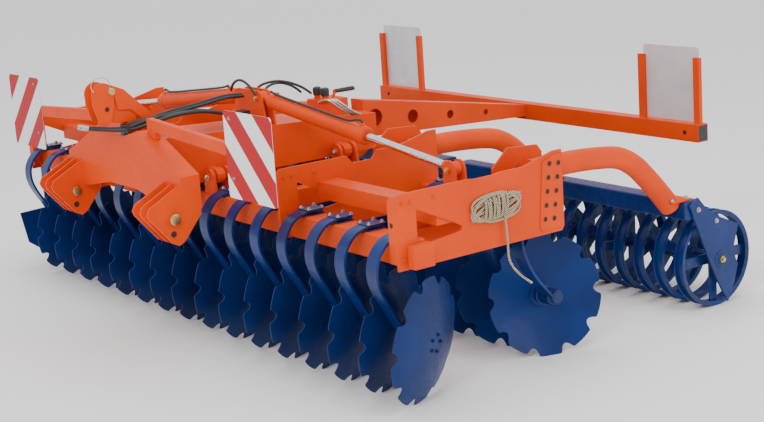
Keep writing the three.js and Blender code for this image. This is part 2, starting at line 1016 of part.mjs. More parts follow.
// The valve on the frame's rear slope, with its two spools and its lever.
function valveBlock() {
  const foot = towerTopAt(valve.front) + seatGap;
  const body = plateAcrossX(
    [
      [valve.front, foot],
      [valve.front, valve.top],
      [valve.rear, valve.top],
      [valve.rear, towerTopAt(valve.rear) + seatGap],
    ],
    -valve.half,
    valve.half,
  );
  const spools = [-40, 40].map((x) =>
    bar([x, valve.front + 45, valve.top - 5], [x, valve.front + 45, valve.top + 60], 20, 8),
  );
  const lever = bar([0, valve.rear - 50, valve.top - 5], [0, valve.rear - 20, valve.top + 40], 9, 8);
  const handle = bar([0, valve.rear - 40, valve.top + 34], [0, valve.rear + 110, valve.top + 30], 9, 8);
  return join(body, ...spools, lever, handle);
}

// The pull rope: a hank on the outer plate, with its tail hanging to the rear.
function pullRope() {
  const x = wingOuter + seatGap + ropeRadius;
  const middle = { y: 510, z: 840 };
  const half = (way) =>
    tube(
      Array.from({ length: 7 }, (unused, i) => {
        const angle = (Math.PI * i) / 6;
        return [x, middle.y + 130 * Math.cos(angle), middle.z + way * 42 * Math.sin(angle)];
      }),
      ropeRadius,
      9,
      6,
    );
  const tail = tube(
    [
      [x + 6, 547, 800],
      [x + 10, 552, 690],
      [x + 8, 560, 580],
      [x, 620, 500],
      [x - 25, 715, 430],
    ],
    7,
    10,
    6,
  );
  const knot = block(x - ropeRadius, x + 18, 520, 575, 782, 812);
  const strap = block(wingOuter + seatGap, x + ropeRadius + 5, 498, 522, 770, 905);
  return join(half(1), half(-1), tail, knot, strap);
}

const harrow = new THREE.Group();
const model = new THREE.Group();
harrow.add(model);

function place(name, solid, material) {
  const mesh = new THREE.Mesh(geometryOf(solid), material);
  mesh.name = name;
  model.add(mesh);
}

place("centre_frame", centreFrame(), orange);
place("headstock", headstock(), orange);
place("top_link_bracket", topLinkBracket(), orange);
place("light_bar_carrier", lightBarCarrier(), orange);
place("light_bar", lightBarWithPosts(), orange);
place("side_deflector", sideDeflector(), blue);
place("hoses", hoses(), rubber);
place("valve_block", valveBlock(), orange);
place("pull_rope", pullRope(), rope);
for (const [word, side] of [
  ["left", 1],
  ["right", -1],
]) {
  place(`warning_panel_${word}`, warningPanel(side), signRed);
  place(`rear_sign_${word}`, rearSign(side), signBack);
  place(`fold_barrel_${word}`, foldBarrel(side), orange);
  place(`fold_rod_${word}`, foldRod(side), chrome);
  place(`wing_frame_${word}`, wingFrame(side), orange);
  place(`front_gang_${word}`, frontGang(side), orange);
  place(`rear_gang_${word}`, discGang(side, rows.rear), orange);
  place(`roller_frame_${word}`, rollerFrame(side), orange);
  place(`roller_${word}`, roller(side), blue);
}

const dish = discGeometry();
for (const [word, row] of Object.entries(rows)) {
  for (let index = 0; index < 2 * discsPerWing; index += 1) {
    const disc = new THREE.Mesh(dish, blue);
    disc.name = `${word}_disc_${String(index + 1).padStart(2, "0")}`;
    disc.position.copy(discCentre(row, index));
    disc.quaternion.copy(discTurn(row.direction));
    model.add(disc);
  }
}

// Turns a disc so that one of its teeth points straight down.
function discTurn(direction) {
  const down = new THREE.Vector3(0, 0, -1);
  const toTooth = down.clone().addScaledVector(direction, -down.dot(direction)).normalize();
  const side = new THREE.Vector3().crossVectors(direction, toTooth.clone().negate()).negate();
  return new THREE.Quaternion().setFromRotationMatrix(
    new THREE.Matrix4().makeBasis(side, toTooth.negate(), direction),
  );
}

// The frame's origin is on the ground under the middle of the machine.
const bounds = new THREE.Box3().setFromObject(model, true);
model.position.x = -(bounds.min.x + bounds.max.x) / 2;
model.position.y = -(bounds.min.y + bounds.max.y) / 2;

export default harrow;
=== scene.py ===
from math import atan2, cos, pi, radians, sin, sqrt

import bpy
from mathutils import Matrix, Vector


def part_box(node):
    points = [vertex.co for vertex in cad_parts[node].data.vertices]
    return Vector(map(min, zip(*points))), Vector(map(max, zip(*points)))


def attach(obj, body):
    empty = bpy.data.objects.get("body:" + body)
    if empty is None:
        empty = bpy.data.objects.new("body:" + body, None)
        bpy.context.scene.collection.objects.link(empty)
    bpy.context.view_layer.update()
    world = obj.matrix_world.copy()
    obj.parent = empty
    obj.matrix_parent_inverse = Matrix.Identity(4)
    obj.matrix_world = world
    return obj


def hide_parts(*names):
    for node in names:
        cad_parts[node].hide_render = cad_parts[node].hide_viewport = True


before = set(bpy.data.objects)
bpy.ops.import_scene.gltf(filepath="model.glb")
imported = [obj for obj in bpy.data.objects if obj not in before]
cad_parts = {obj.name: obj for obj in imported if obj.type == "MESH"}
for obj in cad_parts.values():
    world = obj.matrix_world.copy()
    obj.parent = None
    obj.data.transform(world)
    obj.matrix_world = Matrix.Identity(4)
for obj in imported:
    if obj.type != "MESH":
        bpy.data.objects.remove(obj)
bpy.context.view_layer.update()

# The machine's own zero: its middle plane, 40 mm ahead of the front beam's middle, on the ground.
barRear = 2.490  # how far the light bar's rear face lies behind that zero
barLow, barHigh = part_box("light_bar")
machineZero = Vector(((barLow.x + barHigh.x) / 2, barHigh.y - barRear, 0))
nowhere = Vector((0, 0, 0))


def onMachine(x, y, z):
    return machineZero + Vector((x, y, z))


studio = {
    "azimuth": 54.397,
    "elevation": 12.76,
    "roll": -3.952,
    "lens": 72.266,
    "eye": (7.312, -3.957, 2.430),
    "skyStrength": 1.12,
    "floorTone": 0.97,
    # name, place, what it points at, size, power, color
    "lights": (
        ("keyLight", (5.5, -6.5, 6.0), (0, 0, 0.6), 3.0, 310, (1, 0.97, 0.93)),
        ("fillLight", (7.5, 3.5, 3.0), (0, 0, 0.6), 4.0, 110, (0.95, 0.97, 1)),
        ("topLight", (0, 0.5, 7.0), (0, 0, 0), 5.0, 160, (1, 1, 1)),
    ),
}


def makeCamera():
    turn = radians(studio["azimuth"])
    rise = radians(studio["elevation"])
    roll = radians(studio["roll"])
    back = Vector((sin(turn) * cos(rise), -cos(turn) * cos(rise), sin(rise)))
    level = Vector((cos(turn), sin(turn), 0))
    above = back.cross(level)
    right = level * cos(roll) + above * sin(roll)
    up = above * cos(roll) - level * sin(roll)
    bpy.ops.object.camera_add(location=onMachine(*studio["eye"]))
    camera = bpy.context.object
    camera.rotation_euler = Matrix((right, up, back)).transposed().to_euler()
    camera.data.lens = studio["lens"]
    camera.data.sensor_width = 36
    camera.data.sensor_fit = "HORIZONTAL"
    camera.data.clip_end = 200
    bpy.context.scene.camera = camera


def makeLight(name, place, target, size, power, color):
    bpy.ops.object.light_add(type="AREA", location=place)
    light = bpy.context.object
    light.name = name
    light.rotation_euler = (Vector(place) - Vector(target)).to_track_quat("Z", "Y").to_euler()
    light.data.shape = "DISK"
    light.data.size = size
    light.data.energy = power
    light.data.color = color


def makeStudio():
    bpy.ops.mesh.primitive_plane_add(size=60, location=(0, 0, -0.001))
    floor = bpy.context.object
    floor.name = "studioFloor"
    bpy.ops.object.transform_apply(location=True)
    paper = bpy.data.materials.new("paleFloor")
    paper.use_nodes = True
    shader = paper.node_tree.nodes["Principled BSDF"]
    shader.inputs["Base Color"].default_value = (*[studio["floorTone"]] * 3, 1)
    shader.inputs["Roughness"].default_value = 0.75
    floor.data.materials.append(paper)
    world = bpy.data.worlds.new("softSky")
    bpy.context.scene.world = world
    world.use_nodes = True
    sky = world.node_tree.nodes["Background"]
    sky.inputs["Color"].default_value = (1, 1, 1, 1)
    sky.inputs["Strength"].default_value = studio["skyStrength"]
    for light in studio["lights"]:
        makeLight(*light)


for item in bpy.context.selected_objects:
    item.select_set(False)
makeStudio()
makeCamera()
print("stage: studio ready")


def newGroup(name, inputs, outputs):
    group = bpy.data.node_groups.new(name, "ShaderNodeTree")
    for label, kind, value in inputs:
        group.interface.new_socket(name=label, in_out="INPUT", socket_type=kind).default_value = value
    for label, kind in outputs:
        group.interface.new_socket(name=label, in_out="OUTPUT", socket_type=kind)
    return group, group.nodes.new("NodeGroupInput"), group.nodes.new("NodeGroupOutput")


# Links a socket to another socket, or sets it to a number or color.
def feed(tree, socket, value):
    if isinstance(value, bpy.types.NodeSocket):
        tree.links.new(value, socket)
    else:
        socket.default_value = value


def objectPlace(tree):
    return tree.nodes.new("ShaderNodeTexCoord").outputs["Object"]


def mathNode(tree, operation, *values):
    node = tree.nodes.new("ShaderNodeMath")
    node.operation = operation
    for socket, value in zip(node.inputs, values):
        feed(tree, socket, value)
    return node.outputs["Value"]


def mixNode(tree, factor, a, b, blend="MIX"):
    node = tree.nodes.new("ShaderNodeMix")
    node.data_type = "RGBA"
    node.blend_type = blend
    for label, value in (("Factor", factor), ("A", a), ("B", b)):
        feed(tree, node.inputs[label], value)
    return node.outputs["Result"]


def rampNode(tree, value, low, high, lowValue=0.0, highValue=1.0):
    node = tree.nodes.new("ShaderNodeMapRange")
    settings = {"Value": value, "From Min": low, "From Max": high, "To Min": lowValue, "To Max": highValue}
    for label, setting in settings.items():
        feed(tree, node.inputs[label], setting)
    return node.outputs["Result"]


def noiseNode(tree, place, scale, detail):
    node = tree.nodes.new("ShaderNodeTexNoise")
    for label, setting in {"Vector": place, "Scale": scale, "Detail": detail}.items():
        feed(tree, node.inputs[label], setting)
    return node.outputs["Fac"]


def splitNode(tree, vector):
    node = tree.nodes.new("ShaderNodeSeparateXYZ")
    tree.links.new(vector, node.inputs["Vector"])
    return node.outputs


# Sprayed paint: slow drifts of tone, an orange-peel height and fine scuffs in the gloss.
def makePaintGroup():
    group, start, end = newGroup(
        "sprayedPaint",
        [
            ("Light Tone", "NodeSocketColor", (1, 1, 1, 1)),
            ("Deep Tone", "NodeSocketColor", (0.5, 0.5, 0.5, 1)), ("Gloss", "NodeSocketFloat", 0.3),
        ],
        [("Color", "NodeSocketColor"), ("Roughness", "NodeSocketFloat"), ("Height", "NodeSocketFloat")],
    )
    place = objectPlace(group)
    drift = rampNode(group, noiseNode(group, place, 3.2, 4), 0.35, 0.68)
    scuffs = rampNode(group, noiseNode(group, place, 38, 5), 0.3, 0.8, -0.05, 0.16)
    feed(
        group, end.inputs["Color"],
        mixNode(group, drift, start.outputs["Light Tone"], start.outputs["Deep Tone"]),
    )
    feed(group, end.inputs["Roughness"], mathNode(group, "ADD", start.outputs["Gloss"], scuffs))
    feed(group, end.inputs["Height"], noiseNode(group, place, 420, 2))
    return group


# Lays one color over another where the mask says, by the group's own amount.
def coverInto(group, start, end, mask, under, over):
    scaled = mathNode(group, "MULTIPLY", mask, start.outputs["Amount"])
    feed(group, end.inputs["Color"], mixNode(group, scaled, start.outputs[under], start.outputs[over]))
    feed(group, end.inputs["Mask"], scaled)
    return group


# Edges rubbed through to the primer or bare steel.
def makeWearGroup():
    group, start, end = newGroup(
        "edgeWear",
        [
            ("Paint", "NodeSocketColor", (1, 1, 1, 1)), ("Worn", "NodeSocketColor", (0.5, 0.5, 0.5, 1)),
            ("Amount", "NodeSocketFloat", 0.5),
        ],
        [("Color", "NodeSocketColor"), ("Mask", "NodeSocketFloat")],
    )
    shape = group.nodes.new("ShaderNodeNewGeometry")
    edge = rampNode(group, shape.outputs["Pointiness"], 0.53, 0.60)
    chips = rampNode(group, noiseNode(group, objectPlace(group), 24, 6), 0.5, 0.66)
    return coverInto(group, start, end, mathNode(group, "MULTIPLY", edge, chips), "Paint", "Worn")


# A thin film of dust on what faces up.
def makeDustGroup():
    group, start, end = newGroup(
        "settledDust",
        [
            ("Surface", "NodeSocketColor", (1, 1, 1, 1)), ("Dust", "NodeSocketColor", (0.5, 0.45, 0.4, 1)),
            ("Amount", "NodeSocketFloat", 0.2),
        ],
        [("Color", "NodeSocketColor"), ("Mask", "NodeSocketFloat")],
    )
    shape = group.nodes.new("ShaderNodeNewGeometry")
    upward = rampNode(group, splitNode(group, shape.outputs["Normal"])["Z"], 0.35, 1.0)
    patches = rampNode(group, noiseNode(group, objectPlace(group), 9, 5), 0.35, 0.75)
    return coverInto(group, start, end, mathNode(group, "MULTIPLY", upward, patches), "Surface", "Dust")


paintGroup = makePaintGroup()
wearGroup = makeWearGroup()
dustGroup = makeDustGroup()


def useGroup(tree, group, values):
    node = tree.nodes.new("ShaderNodeGroup")
    node.node_tree = group
    for label, value in values.items():
        feed(tree, node.inputs[label], value)
    return node.outputs


def newMaterial(name):
    material = bpy.data.materials.new(name)
    material.use_nodes = True
    return material, material.node_tree, material.node_tree.nodes["Principled BSDF"]


def bumpInto(tree, shader, height, strength, distance):
    bump = tree.nodes.new("ShaderNodeBump")
    for label, setting in {"Strength": strength, "Distance": distance, "Height": height}.items():
        feed(tree, bump.inputs[label], setting)
    tree.links.new(bump.outputs["Normal"], shader.inputs["Normal"])


def paintMaterial(name, light, deep, worn, gloss, wear, dust, coat, shine):
    material, tree, shader = newMaterial(name)
    paint = useGroup(tree, paintGroup, {"Light Tone": light, "Deep Tone": deep, "Gloss": gloss})
    edges = useGroup(tree, wearGroup, {"Paint": paint["Color"], "Worn": worn, "Amount": wear})
    film = useGroup(
        tree, dustGroup, {"Surface": edges["Color"], "Dust": (0.52, 0.44, 0.38, 1), "Amount": dust},
    )
    feed(tree, shader.inputs["Base Color"], film["Color"])
    feed(tree, shader.inputs["Roughness"], paint["Roughness"])
    shader.inputs["Specular IOR Level"].default_value = shine
    shader.inputs["Coat Weight"].default_value = coat
    shader.inputs["Coat Roughness"].default_value = 0.08
    bumpInto(tree, shader, paint["Height"], 0.12, 0.0006)
    return material


def metalMaterial(name, bright, dull, roughness, grain, metallic=1.0):
    material, tree, shader = newMaterial(name)
    clouds = noiseNode(tree, objectPlace(tree), grain, 6)
    feed(tree, shader.inputs["Base Color"], mixNode(tree, rampNode(tree, clouds, 0.35, 0.7), bright, dull))
    feed(tree, shader.inputs["Roughness"], rampNode(tree, clouds, 0.3, 0.75, roughness, roughness + 0.14))
    shader.inputs["Metallic"].default_value = metallic
    return material


# Diagonal bands 100 mm wide that fall away from the machine's middle.
def stripeMaterial():
    band = {"innerEdge": 1.0505, "top": 1.345, "size": 0.423, "period": 0.6686, "start": 0.05}
    material, tree, shader = newMaterial("warningStripes")
    place = objectPlace(tree)
    parts = splitNode(tree, place)
    across = mathNode(tree, "ABSOLUTE", mathNode(tree, "SUBTRACT", parts["X"], machineZero.x))
    shift = band["innerEdge"] + band["top"] - band["start"] * band["size"]
    along = mathNode(tree, "SUBTRACT", mathNode(tree, "ADD", across, parts["Z"]), shift)
    share = mathNode(tree, "FRACT", mathNode(tree, "DIVIDE", along, band["size"] * band["period"]))
    red = mathNode(tree, "LESS_THAN", share, 0.5)
    color = mixNode(tree, red, (0.86, 0.87, 0.88, 1), (0.46, 0.003, 0.010, 1))
    fade = rampNode(tree, noiseNode(tree, place, 60, 4), 0.3, 0.8, 0.92, 1.0)
    feed(tree, shader.inputs["Base Color"], mixNode(tree, 1.0, color, fade, "MULTIPLY"))
    shader.inputs["Roughness"].default_value = 0.42
    shader.inputs["Specular IOR Level"].default_value = 0.2
    beads = tree.nodes.new("ShaderNodeTexVoronoi")
    beads.inputs["Scale"].default_value = 260
    tree.links.new(place, beads.inputs["Vector"])
    bumpInto(tree, shader, beads.outputs["Distance"], 0.15, 0.0008)
    return material


# A cord's slanting strands, with painted shade between them and a painted highlight on their crowns.
def braidMaterial(name, scale, distortion, dark, light, roughness, strength, distance):
    material, tree, shader = newMaterial(name)
    strands = tree.nodes.new("ShaderNodeTexWave")
    strands.inputs["Scale"].default_value = scale
    strands.inputs["Distortion"].default_value = distortion
    strands.bands_direction = "DIAGONAL"
    tree.links.new(objectPlace(tree), strands.inputs["Vector"])
    # painted shade in the grooves and a painted highlight on the crowns, taken from the wave's bands
    feed(tree, shader.inputs["Base Color"], mixNode(tree, strands.outputs["Fac"], dark, light))
    shader.inputs["Roughness"].default_value = roughness
    bumpInto(tree, shader, strands.outputs["Fac"], strength, distance)
    return material


# Light and deep tone, worn edge, gloss, wear, dust, coat, shine.
orangePaint = paintMaterial(
    "orangePaint", (0.78, 0.064, 0.0005, 1), (0.68, 0.048, 0.0005, 1), (0.70, 0.11, 0.01, 1), 0.42, 0.20,
    0.02, 0.04, 0.12,
)
bluePaint = paintMaterial(
    "bluePaint", (0.004, 0.026, 0.150, 1), (0.004, 0.016, 0.085, 1), (0.12, 0.16, 0.26, 1), 0.32, 0.15,
    0.02, 0.12, 0.22,
)
discPaint = paintMaterial(
    "discPaint", (0.003, 0.024, 0.140, 1), (0.002, 0.014, 0.085, 1), (0.16, 0.19, 0.26, 1), 0.38, 0.12,
    0.02, 0.06, 0.16,
)
chromeRod = metalMaterial("chromeRod", (0.86, 0.87, 0.89, 1), (0.70, 0.71, 0.74, 1), 0.07, 30)
zincSteel = metalMaterial("zincSteel", (0.62, 0.62, 0.60, 1), (0.36, 0.35, 0.33, 1), 0.28, 90)
brassZinc = metalMaterial("brassZinc", (0.72, 0.52, 0.20, 1), (0.50, 0.36, 0.14, 1), 0.30, 70)
signMetal = metalMaterial("signMetal", (0.74, 0.75, 0.77, 1), (0.62, 0.64, 0.67, 1), 0.38, 9, 0.30)
blackPlastic = metalMaterial("blackPlastic", (0.012, 0.012, 0.013, 1), (0.03, 0.03, 0.032, 1), 0.35, 60, 0.0)
deepShade = metalMaterial("deepShade", (0.012, 0.008, 0.006, 1), (0.03, 0.016, 0.012, 1), 0.7, 40, 0.0)
stripes = stripeMaterial()
ropeFibre = braidMaterial(
    "twistedRope", 55, 1.6, (0.09, 0.05, 0.03, 1), (0.70, 0.58, 0.38, 1), 0.9, 0.7, 0.003,
)
hoseRubber = braidMaterial(
    "hoseRubber", 90, 0.6, (0.010, 0.010, 0.011, 1), (0.032, 0.033, 0.036, 1), 0.5, 0.25, 0.0008,
)
print("stage: materials ready")


def clearSelection():
    if bpy.context.object and bpy.context.object.mode != "OBJECT":
        bpy.ops.object.mode_set(mode="OBJECT")
    bpy.ops.object.select_all(action="DESELECT")


def activate(piece):
    clearSelection()
    piece.select_set(True)
    bpy.context.view_layer.objects.active = piece


def applyPlace(piece):
    activate(piece)
    bpy.ops.object.transform_apply(location=True, rotation=True, scale=True)
    return piece


def editAll():
    bpy.ops.object.mode_set(mode="EDIT")
    bpy.ops.mesh.select_all(action="SELECT")


def endEdit():
    bpy.ops.object.mode_set(mode="OBJECT")


def useModifier(piece, name, kind, **settings):
    activate(piece)
    modifier = piece.modifiers.new(name, kind)
    for key, value in settings.items():
        setattr(modifier, key, value)
    bpy.ops.object.modifier_apply(modifier=modifier.name)
    return piece


def roundEdges(piece, width, segments=2, angle=32):
    limit = radians(angle)
    return useModifier(
        piece, "roundedEdges", "BEVEL", width=width, segments=segments, limit_method="ANGLE",
        angle_limit=limit, miter_outer="MITER_ARC",
    )


def joinPieces(pieces):
    clearSelection()
    for piece in pieces:
        piece.select_set(True)
    bpy.context.view_layer.objects.active = pieces[0]
    if len(pieces) > 1:
        bpy.ops.object.join()
    return bpy.context.view_layer.objects.active


def copyPiece(piece, matrix=None):
    twin = piece.copy()
    twin.data = piece.data.copy()
    bpy.context.scene.collection.objects.link(twin)
    if matrix is not None:
        twin.data.transform(matrix)
    return twin


def dropPiece(piece):
    bpy.data.objects.remove(piece, do_unlink=True)


# Names the piece (a list is joined first), paints it and makes it ride on its body.
def finishPiece(piece, name, material, body, stands=None, smooth=35):
    piece = joinPieces(piece) if isinstance(piece, list) else piece
    applyPlace(piece)
    bpy.ops.object.shade_smooth_by_angle(angle=radians(smooth))
    useModifier(piece, "evenShading", "WEIGHTED_NORMAL", keep_sharp=True)
    piece.name = name
    piece.data.name = name
    piece.data.materials.clear()
    piece.data.materials.append(material)
    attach(piece, body)
    if stands:
        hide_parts(stands)
    return piece


def boxPiece(low, high, edge=0.004, segments=2):
    clearSelection()
    a = Vector([min(p, q) for p, q in zip(low, high)])
    b = Vector([max(p, q) for p, q in zip(low, high)])
    bpy.ops.mesh.primitive_cube_add(size=1, location=machineZero + (a + b) / 2, scale=b - a)
    piece = applyPlace(bpy.context.object)
    editAll()
    if edge:
        bpy.ops.mesh.bevel(offset=edge, segments=segments, affect="EDGES")
    endEdit()
    return piece


# A cut plate: its outline lies in (y, z) when plane is "x", or in (x, z) when it is "y".
def platePiece(points, plane, start, end, edge=0.002, segments=2):
    clearSelection()
    bpy.ops.mesh.primitive_circle_add(vertices=len(points), radius=1, fill_type="NGON")
    piece = bpy.context.object
    for vertex, (u, v) in zip(piece.data.vertices, points):
        vertex.co = onMachine(start, u, v) if plane == "x" else onMachine(u, start, v)
    step = (end - start, 0, 0) if plane == "x" else (0, end - start, 0)
    editAll()
    bpy.ops.mesh.extrude_region_move(TRANSFORM_OT_translate={"value": step})
    bpy.ops.mesh.select_all(action="SELECT")
    bpy.ops.mesh.normals_make_consistent(inside=False)
    endEdit()
    return roundEdges(piece, edge, segments) if edge else piece


# A turned piece: profile pairs of (distance along the axis, radius), spun about the axis.
# It is placed from the machine's zero, or from nowhere when copies of it are placed later.
def turnedPiece(start, direction, profile, steps=32, zero=machineZero):
    clearSelection()
    bpy.ops.mesh.primitive_circle_add(vertices=len(profile), radius=1, fill_type="NOTHING")
    piece = bpy.context.object
    for vertex, (distance, radius) in zip(piece.data.vertices, profile):
        vertex.co = (radius, 0, distance)
    editAll()
    bpy.ops.mesh.spin(steps=steps, angle=2 * pi, center=(0, 0, 0), axis=(0, 0, 1))
    bpy.ops.mesh.select_all(action="SELECT")
    bpy.ops.mesh.remove_doubles(threshold=0.00001)
    bpy.ops.mesh.dissolve_degenerate(threshold=0.00001)
    bpy.ops.mesh.select_all(action="SELECT")
    bpy.ops.mesh.normals_make_consistent(inside=False)
    endEdit()
    turn = Vector(direction).normalized().to_track_quat("Z", "Y").to_matrix().to_4x4()
    piece.data.transform(Matrix.Translation(zero + Vector(start)) @ turn)
    return piece


# A rod with softened ends.
def rodPiece(start, end, radius, soft=0.002, steps=24):
    length = (Vector(end) - Vector(start)).length
    soft = min(soft, radius / 2, length / 3)
    low, high = radius - soft, length - soft
    profile = [(0, 0), (0, low), (soft, radius), (high, radius), (length, low), (length, 0)]
    return turnedPiece(start, Vector(end) - Vector(start), profile, steps)


def smoothLine(points, steps):
    line = []
    count = len(points) - 1
    for i in range(steps + 1):
        t = i / steps * count
        k = min(int(t), count - 1)
        f = t - k
        p0, p1 = Vector(points[max(k - 1, 0)]), Vector(points[k])
        p2, p3 = Vector(points[k + 1]), Vector(points[min(k + 2, count)])
        square = (2 * p0 - 5 * p1 + 4 * p2 - p3) * f * f
        line.append(0.5 * (2 * p1 + (p2 - p0) * f + square + (3 * p1 - p0 - 3 * p2 + p3) * f**3))
    return line


# A round tube along a smooth line.
def tubePiece(points, radius, steps=40, sides=5):
    clearSelection()
    curve = bpy.data.curves.new("pipe", "CURVE")
    curve.dimensions = "3D"
    curve.bevel_depth = radius
    curve.bevel_resolution = sides
    curve.use_fill_caps = True
    line = smoothLine(points, steps)
    spline = curve.splines.new("POLY")
    spline.points.add(len(line) - 1)
    for point, place in zip(spline.points, line):
        point.co = (*(machineZero + place), 1)
    piece = bpy.data.objects.new("pipe", curve)
    bpy.context.scene.collection.objects.link(piece)
    activate(piece)
    bpy.ops.object.convert(target="MESH")
    piece = bpy.context.object
    editAll()
    bpy.ops.mesh.remove_doubles(threshold=0.00001)
    bpy.ops.mesh.normals_make_consistent(inside=False)
    endEdit()
    return piece


# A strip of even thickness along a smooth line in (y, z), as an outline.
def stripOutline(points, thickness, steps):
    line = smoothLine([(u, v, 0) for u, v in points], steps)
    front, back = [], []
    for i, here in enumerate(line):
        ahead = line[min(i + 1, steps)] - line[max(i - 1, 0)]
        across = Vector((-ahead.y, ahead.x, 0)).normalized() * (thickness / 2)
        front.append((here + across).to_2d())
        back.append((here - across).to_2d())
    return [tuple(p) for p in front + back[::-1]]


# A CAD node's own shape with its edges broken, as a welded and sprayed part has them.
def brokenEdgeCopy(node, width, segments=2, cutters=()):
    piece = copyPiece(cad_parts[node])
    piece.parent = None
    piece.hide_render = False
    for key in list(piece.keys()):
        del piece[key]
    activate(piece)
    editAll()
    bpy.ops.mesh.remove_doubles(threshold=0.00005)
    endEdit()
    for cutter in cutters:
        useModifier(piece, "cutOut", "BOOLEAN", operation="DIFFERENCE", solver="EXACT", object=cutter)
        dropPiece(cutter)
    activate(piece)
    editAll()
    bpy.ops.mesh.dissolve_limited(angle_limit=radians(2))
    endEdit()
    return roundEdges(piece, width, segments, 28)


def weldedPiece(node, name, material, body, width, segments=2, cutters=()):
    finishPiece(brokenEdgeCopy(node, width, segments, cutters), name, material, body, node)


# Bolt heads with their washers, all of one size, on one body.
def boltTemplate(size):
    washerSteps, tipSteps = 12, 8
    rim = [(0, 0), (0, size * 1.35), (size * 0.18, size * 1.35), (size * 0.18, 0)]
    washer = turnedPiece((0, 0, 0), (0, 0, 1), rim, washerSteps, nowhere)
    clearSelection()
    height = size * 0.85
    bpy.ops.mesh.primitive_cylinder_add(vertices=6, radius=size, depth=height, location=(0, 0, height / 2))
    head = applyPlace(bpy.context.object)
    head.data.transform(Matrix.Translation((0, 0, size * 0.16)))
    end = [(0, 0), (0, size * 0.55), (size * 0.35, size * 0.5), (size * 0.35, 0)]
    tip = turnedPiece((0, 0, size), (0, 0, 1), end, tipSteps, nowhere)
    return joinPieces([head, washer, tip])


def boltPiece(places, size):
    template = boltTemplate(size)
    copies = []
    for place, direction in places:
        turn = Vector(direction).normalized().to_track_quat("Z", "Y").to_matrix().to_4x4()
        copies.append(copyPiece(template, Matrix.Translation(machineZero + Vector(place)) @ turn))
    dropPiece(template)
    return joinPieces(copies)


sides = (("left", 1), ("right", -1))


disc = {
    "radius": 0.305,
    "depth": 0.062,
    "plate": 0.006,
    "flat": 0.060,
    "notches": 10,
    "notchDepth": 0.036,
    "toothShare": 0.62,
    "flange": 0.062,
    "flangeReach": 0.026,
    "lean": 8,
    "pitch": 0.250,
    "perWing": 8,
    "boltCircle": 0.042,
    "bolts": 5,
    "boltSize": 0.0085,
}
rows = {
    "front": {"armX": 1.875, "beamY": 0.040, "setback": -0.018, "reach": 0.097, "turn": 24},
    "rear": {"armX": 1.913, "beamY": 0.870, "setback": 0.022, "reach": 0.080, "turn": 162},
}
toothHalf = pi / disc["notches"] * disc["toothShare"]
discHeight = disc["radius"] * cos(radians(disc["lean"])) * cos(toothHalf)


def discDirection(row):
    turn, lean = radians(row["turn"]), radians(disc["lean"])
    return Vector((cos(turn) * cos(lean), sin(turn) * cos(lean), -sin(lean)))


def armEnd(row, index):
    height = discHeight - row["reach"] * discDirection(row).z
    return Vector((row["armX"] - index * disc["pitch"], row["beamY"] + row["setback"], height))


def discCentre(row, index):
    return armEnd(row, index) + discDirection(row) * row["reach"]


def discMatrix(row, index):
    direction = discDirection(row)
    down = Vector((0, 0, -1))
    tooth = (down - direction * down.dot(direction)).normalized()
    side = direction.cross(tooth)
    turn = Matrix((side, -tooth, direction)).transposed().to_4x4()
    return Matrix.Translation(machineZero + discCentre(row, index)) @ turn


def rimRadius(angle):
    step = 2 * pi / disc["notches"]
    offset = (angle + pi / 2 + step / 2) % step - step / 2
    if abs(offset) <= toothHalf:
        return disc["radius"]
    share = (step / 2 - abs(offset)) / (step / 2 - toothHalf)
    return disc["radius"] - disc["notchDepth"] * (1 - share**2.2)


def makeDisc():
    clearSelection()
    around = 160
    bpy.ops.mesh.primitive_circle_add(vertices=around, radius=disc["radius"], fill_type="NOTHING")
    piece = bpy.context.object
    rings = [0.292, 0.27, 0.245, 0.21, 0.17, 0.13, 0.095, disc["flat"]]
    editAll()
    radius = disc["radius"]
    for ring in rings:
        bpy.ops.mesh.extrude_edges_move()
        bpy.ops.transform.resize(value=(ring / radius, ring / radius, 1), center_override=(0, 0, 0))
        radius = ring
    bpy.ops.mesh.edge_face_add()
    bpy.ops.mesh.select_all(action="SELECT")
    bpy.ops.mesh.normals_make_consistent(inside=False)
    endEdit()
    ball = (disc["radius"] ** 2 + disc["depth"] ** 2) / (2 * disc["depth"])
    low = sqrt(ball**2 - disc["radius"] ** 2)
    notchRoot = disc["radius"] - disc["notchDepth"] - 0.012
    for vertex in piece.data.vertices:
        radius = vertex.co.to_2d().length
        angle = atan2(vertex.co.y, vertex.co.x)
        if radius > notchRoot:
            share = (radius - notchRoot) / (disc["radius"] - notchRoot)
            radius = notchRoot + share * (rimRadius(angle) - notchRoot)
            vertex.co.x = radius * cos(angle)
            vertex.co.y = radius * sin(angle)
        vertex.co.z = sqrt(ball**2 - max(radius, disc["flat"]) ** 2) - low
    activate(piece)
    if sum(face.normal.z for face in piece.data.polygons) < 0:
        editAll()
        bpy.ops.mesh.flip_normals()
        endEdit()
    useModifier(piece, "plateThickness", "SOLIDIFY", thickness=disc["plate"], offset=-1)
    roundEdges(piece, 0.0012, 1, 50)
    top = sqrt(ball**2 - disc["flat"] ** 2) - low
    depth, wide, under = disc["depth"], disc["flange"], top - disc["plate"] - 0.0002
    shape = [
        (depth - disc["flangeReach"], 0), (depth - disc["flangeReach"], 0.040), (depth - 0.020, 0.043),
        (depth - 0.018, wide - 0.002), (depth - 0.016, wide), (under, wide), (under, 0),
    ]
    flange = turnedPiece((0, 0, 0), (0, 0, 1), shape, 28, nowhere)
    return joinPieces([piece, flange]), top


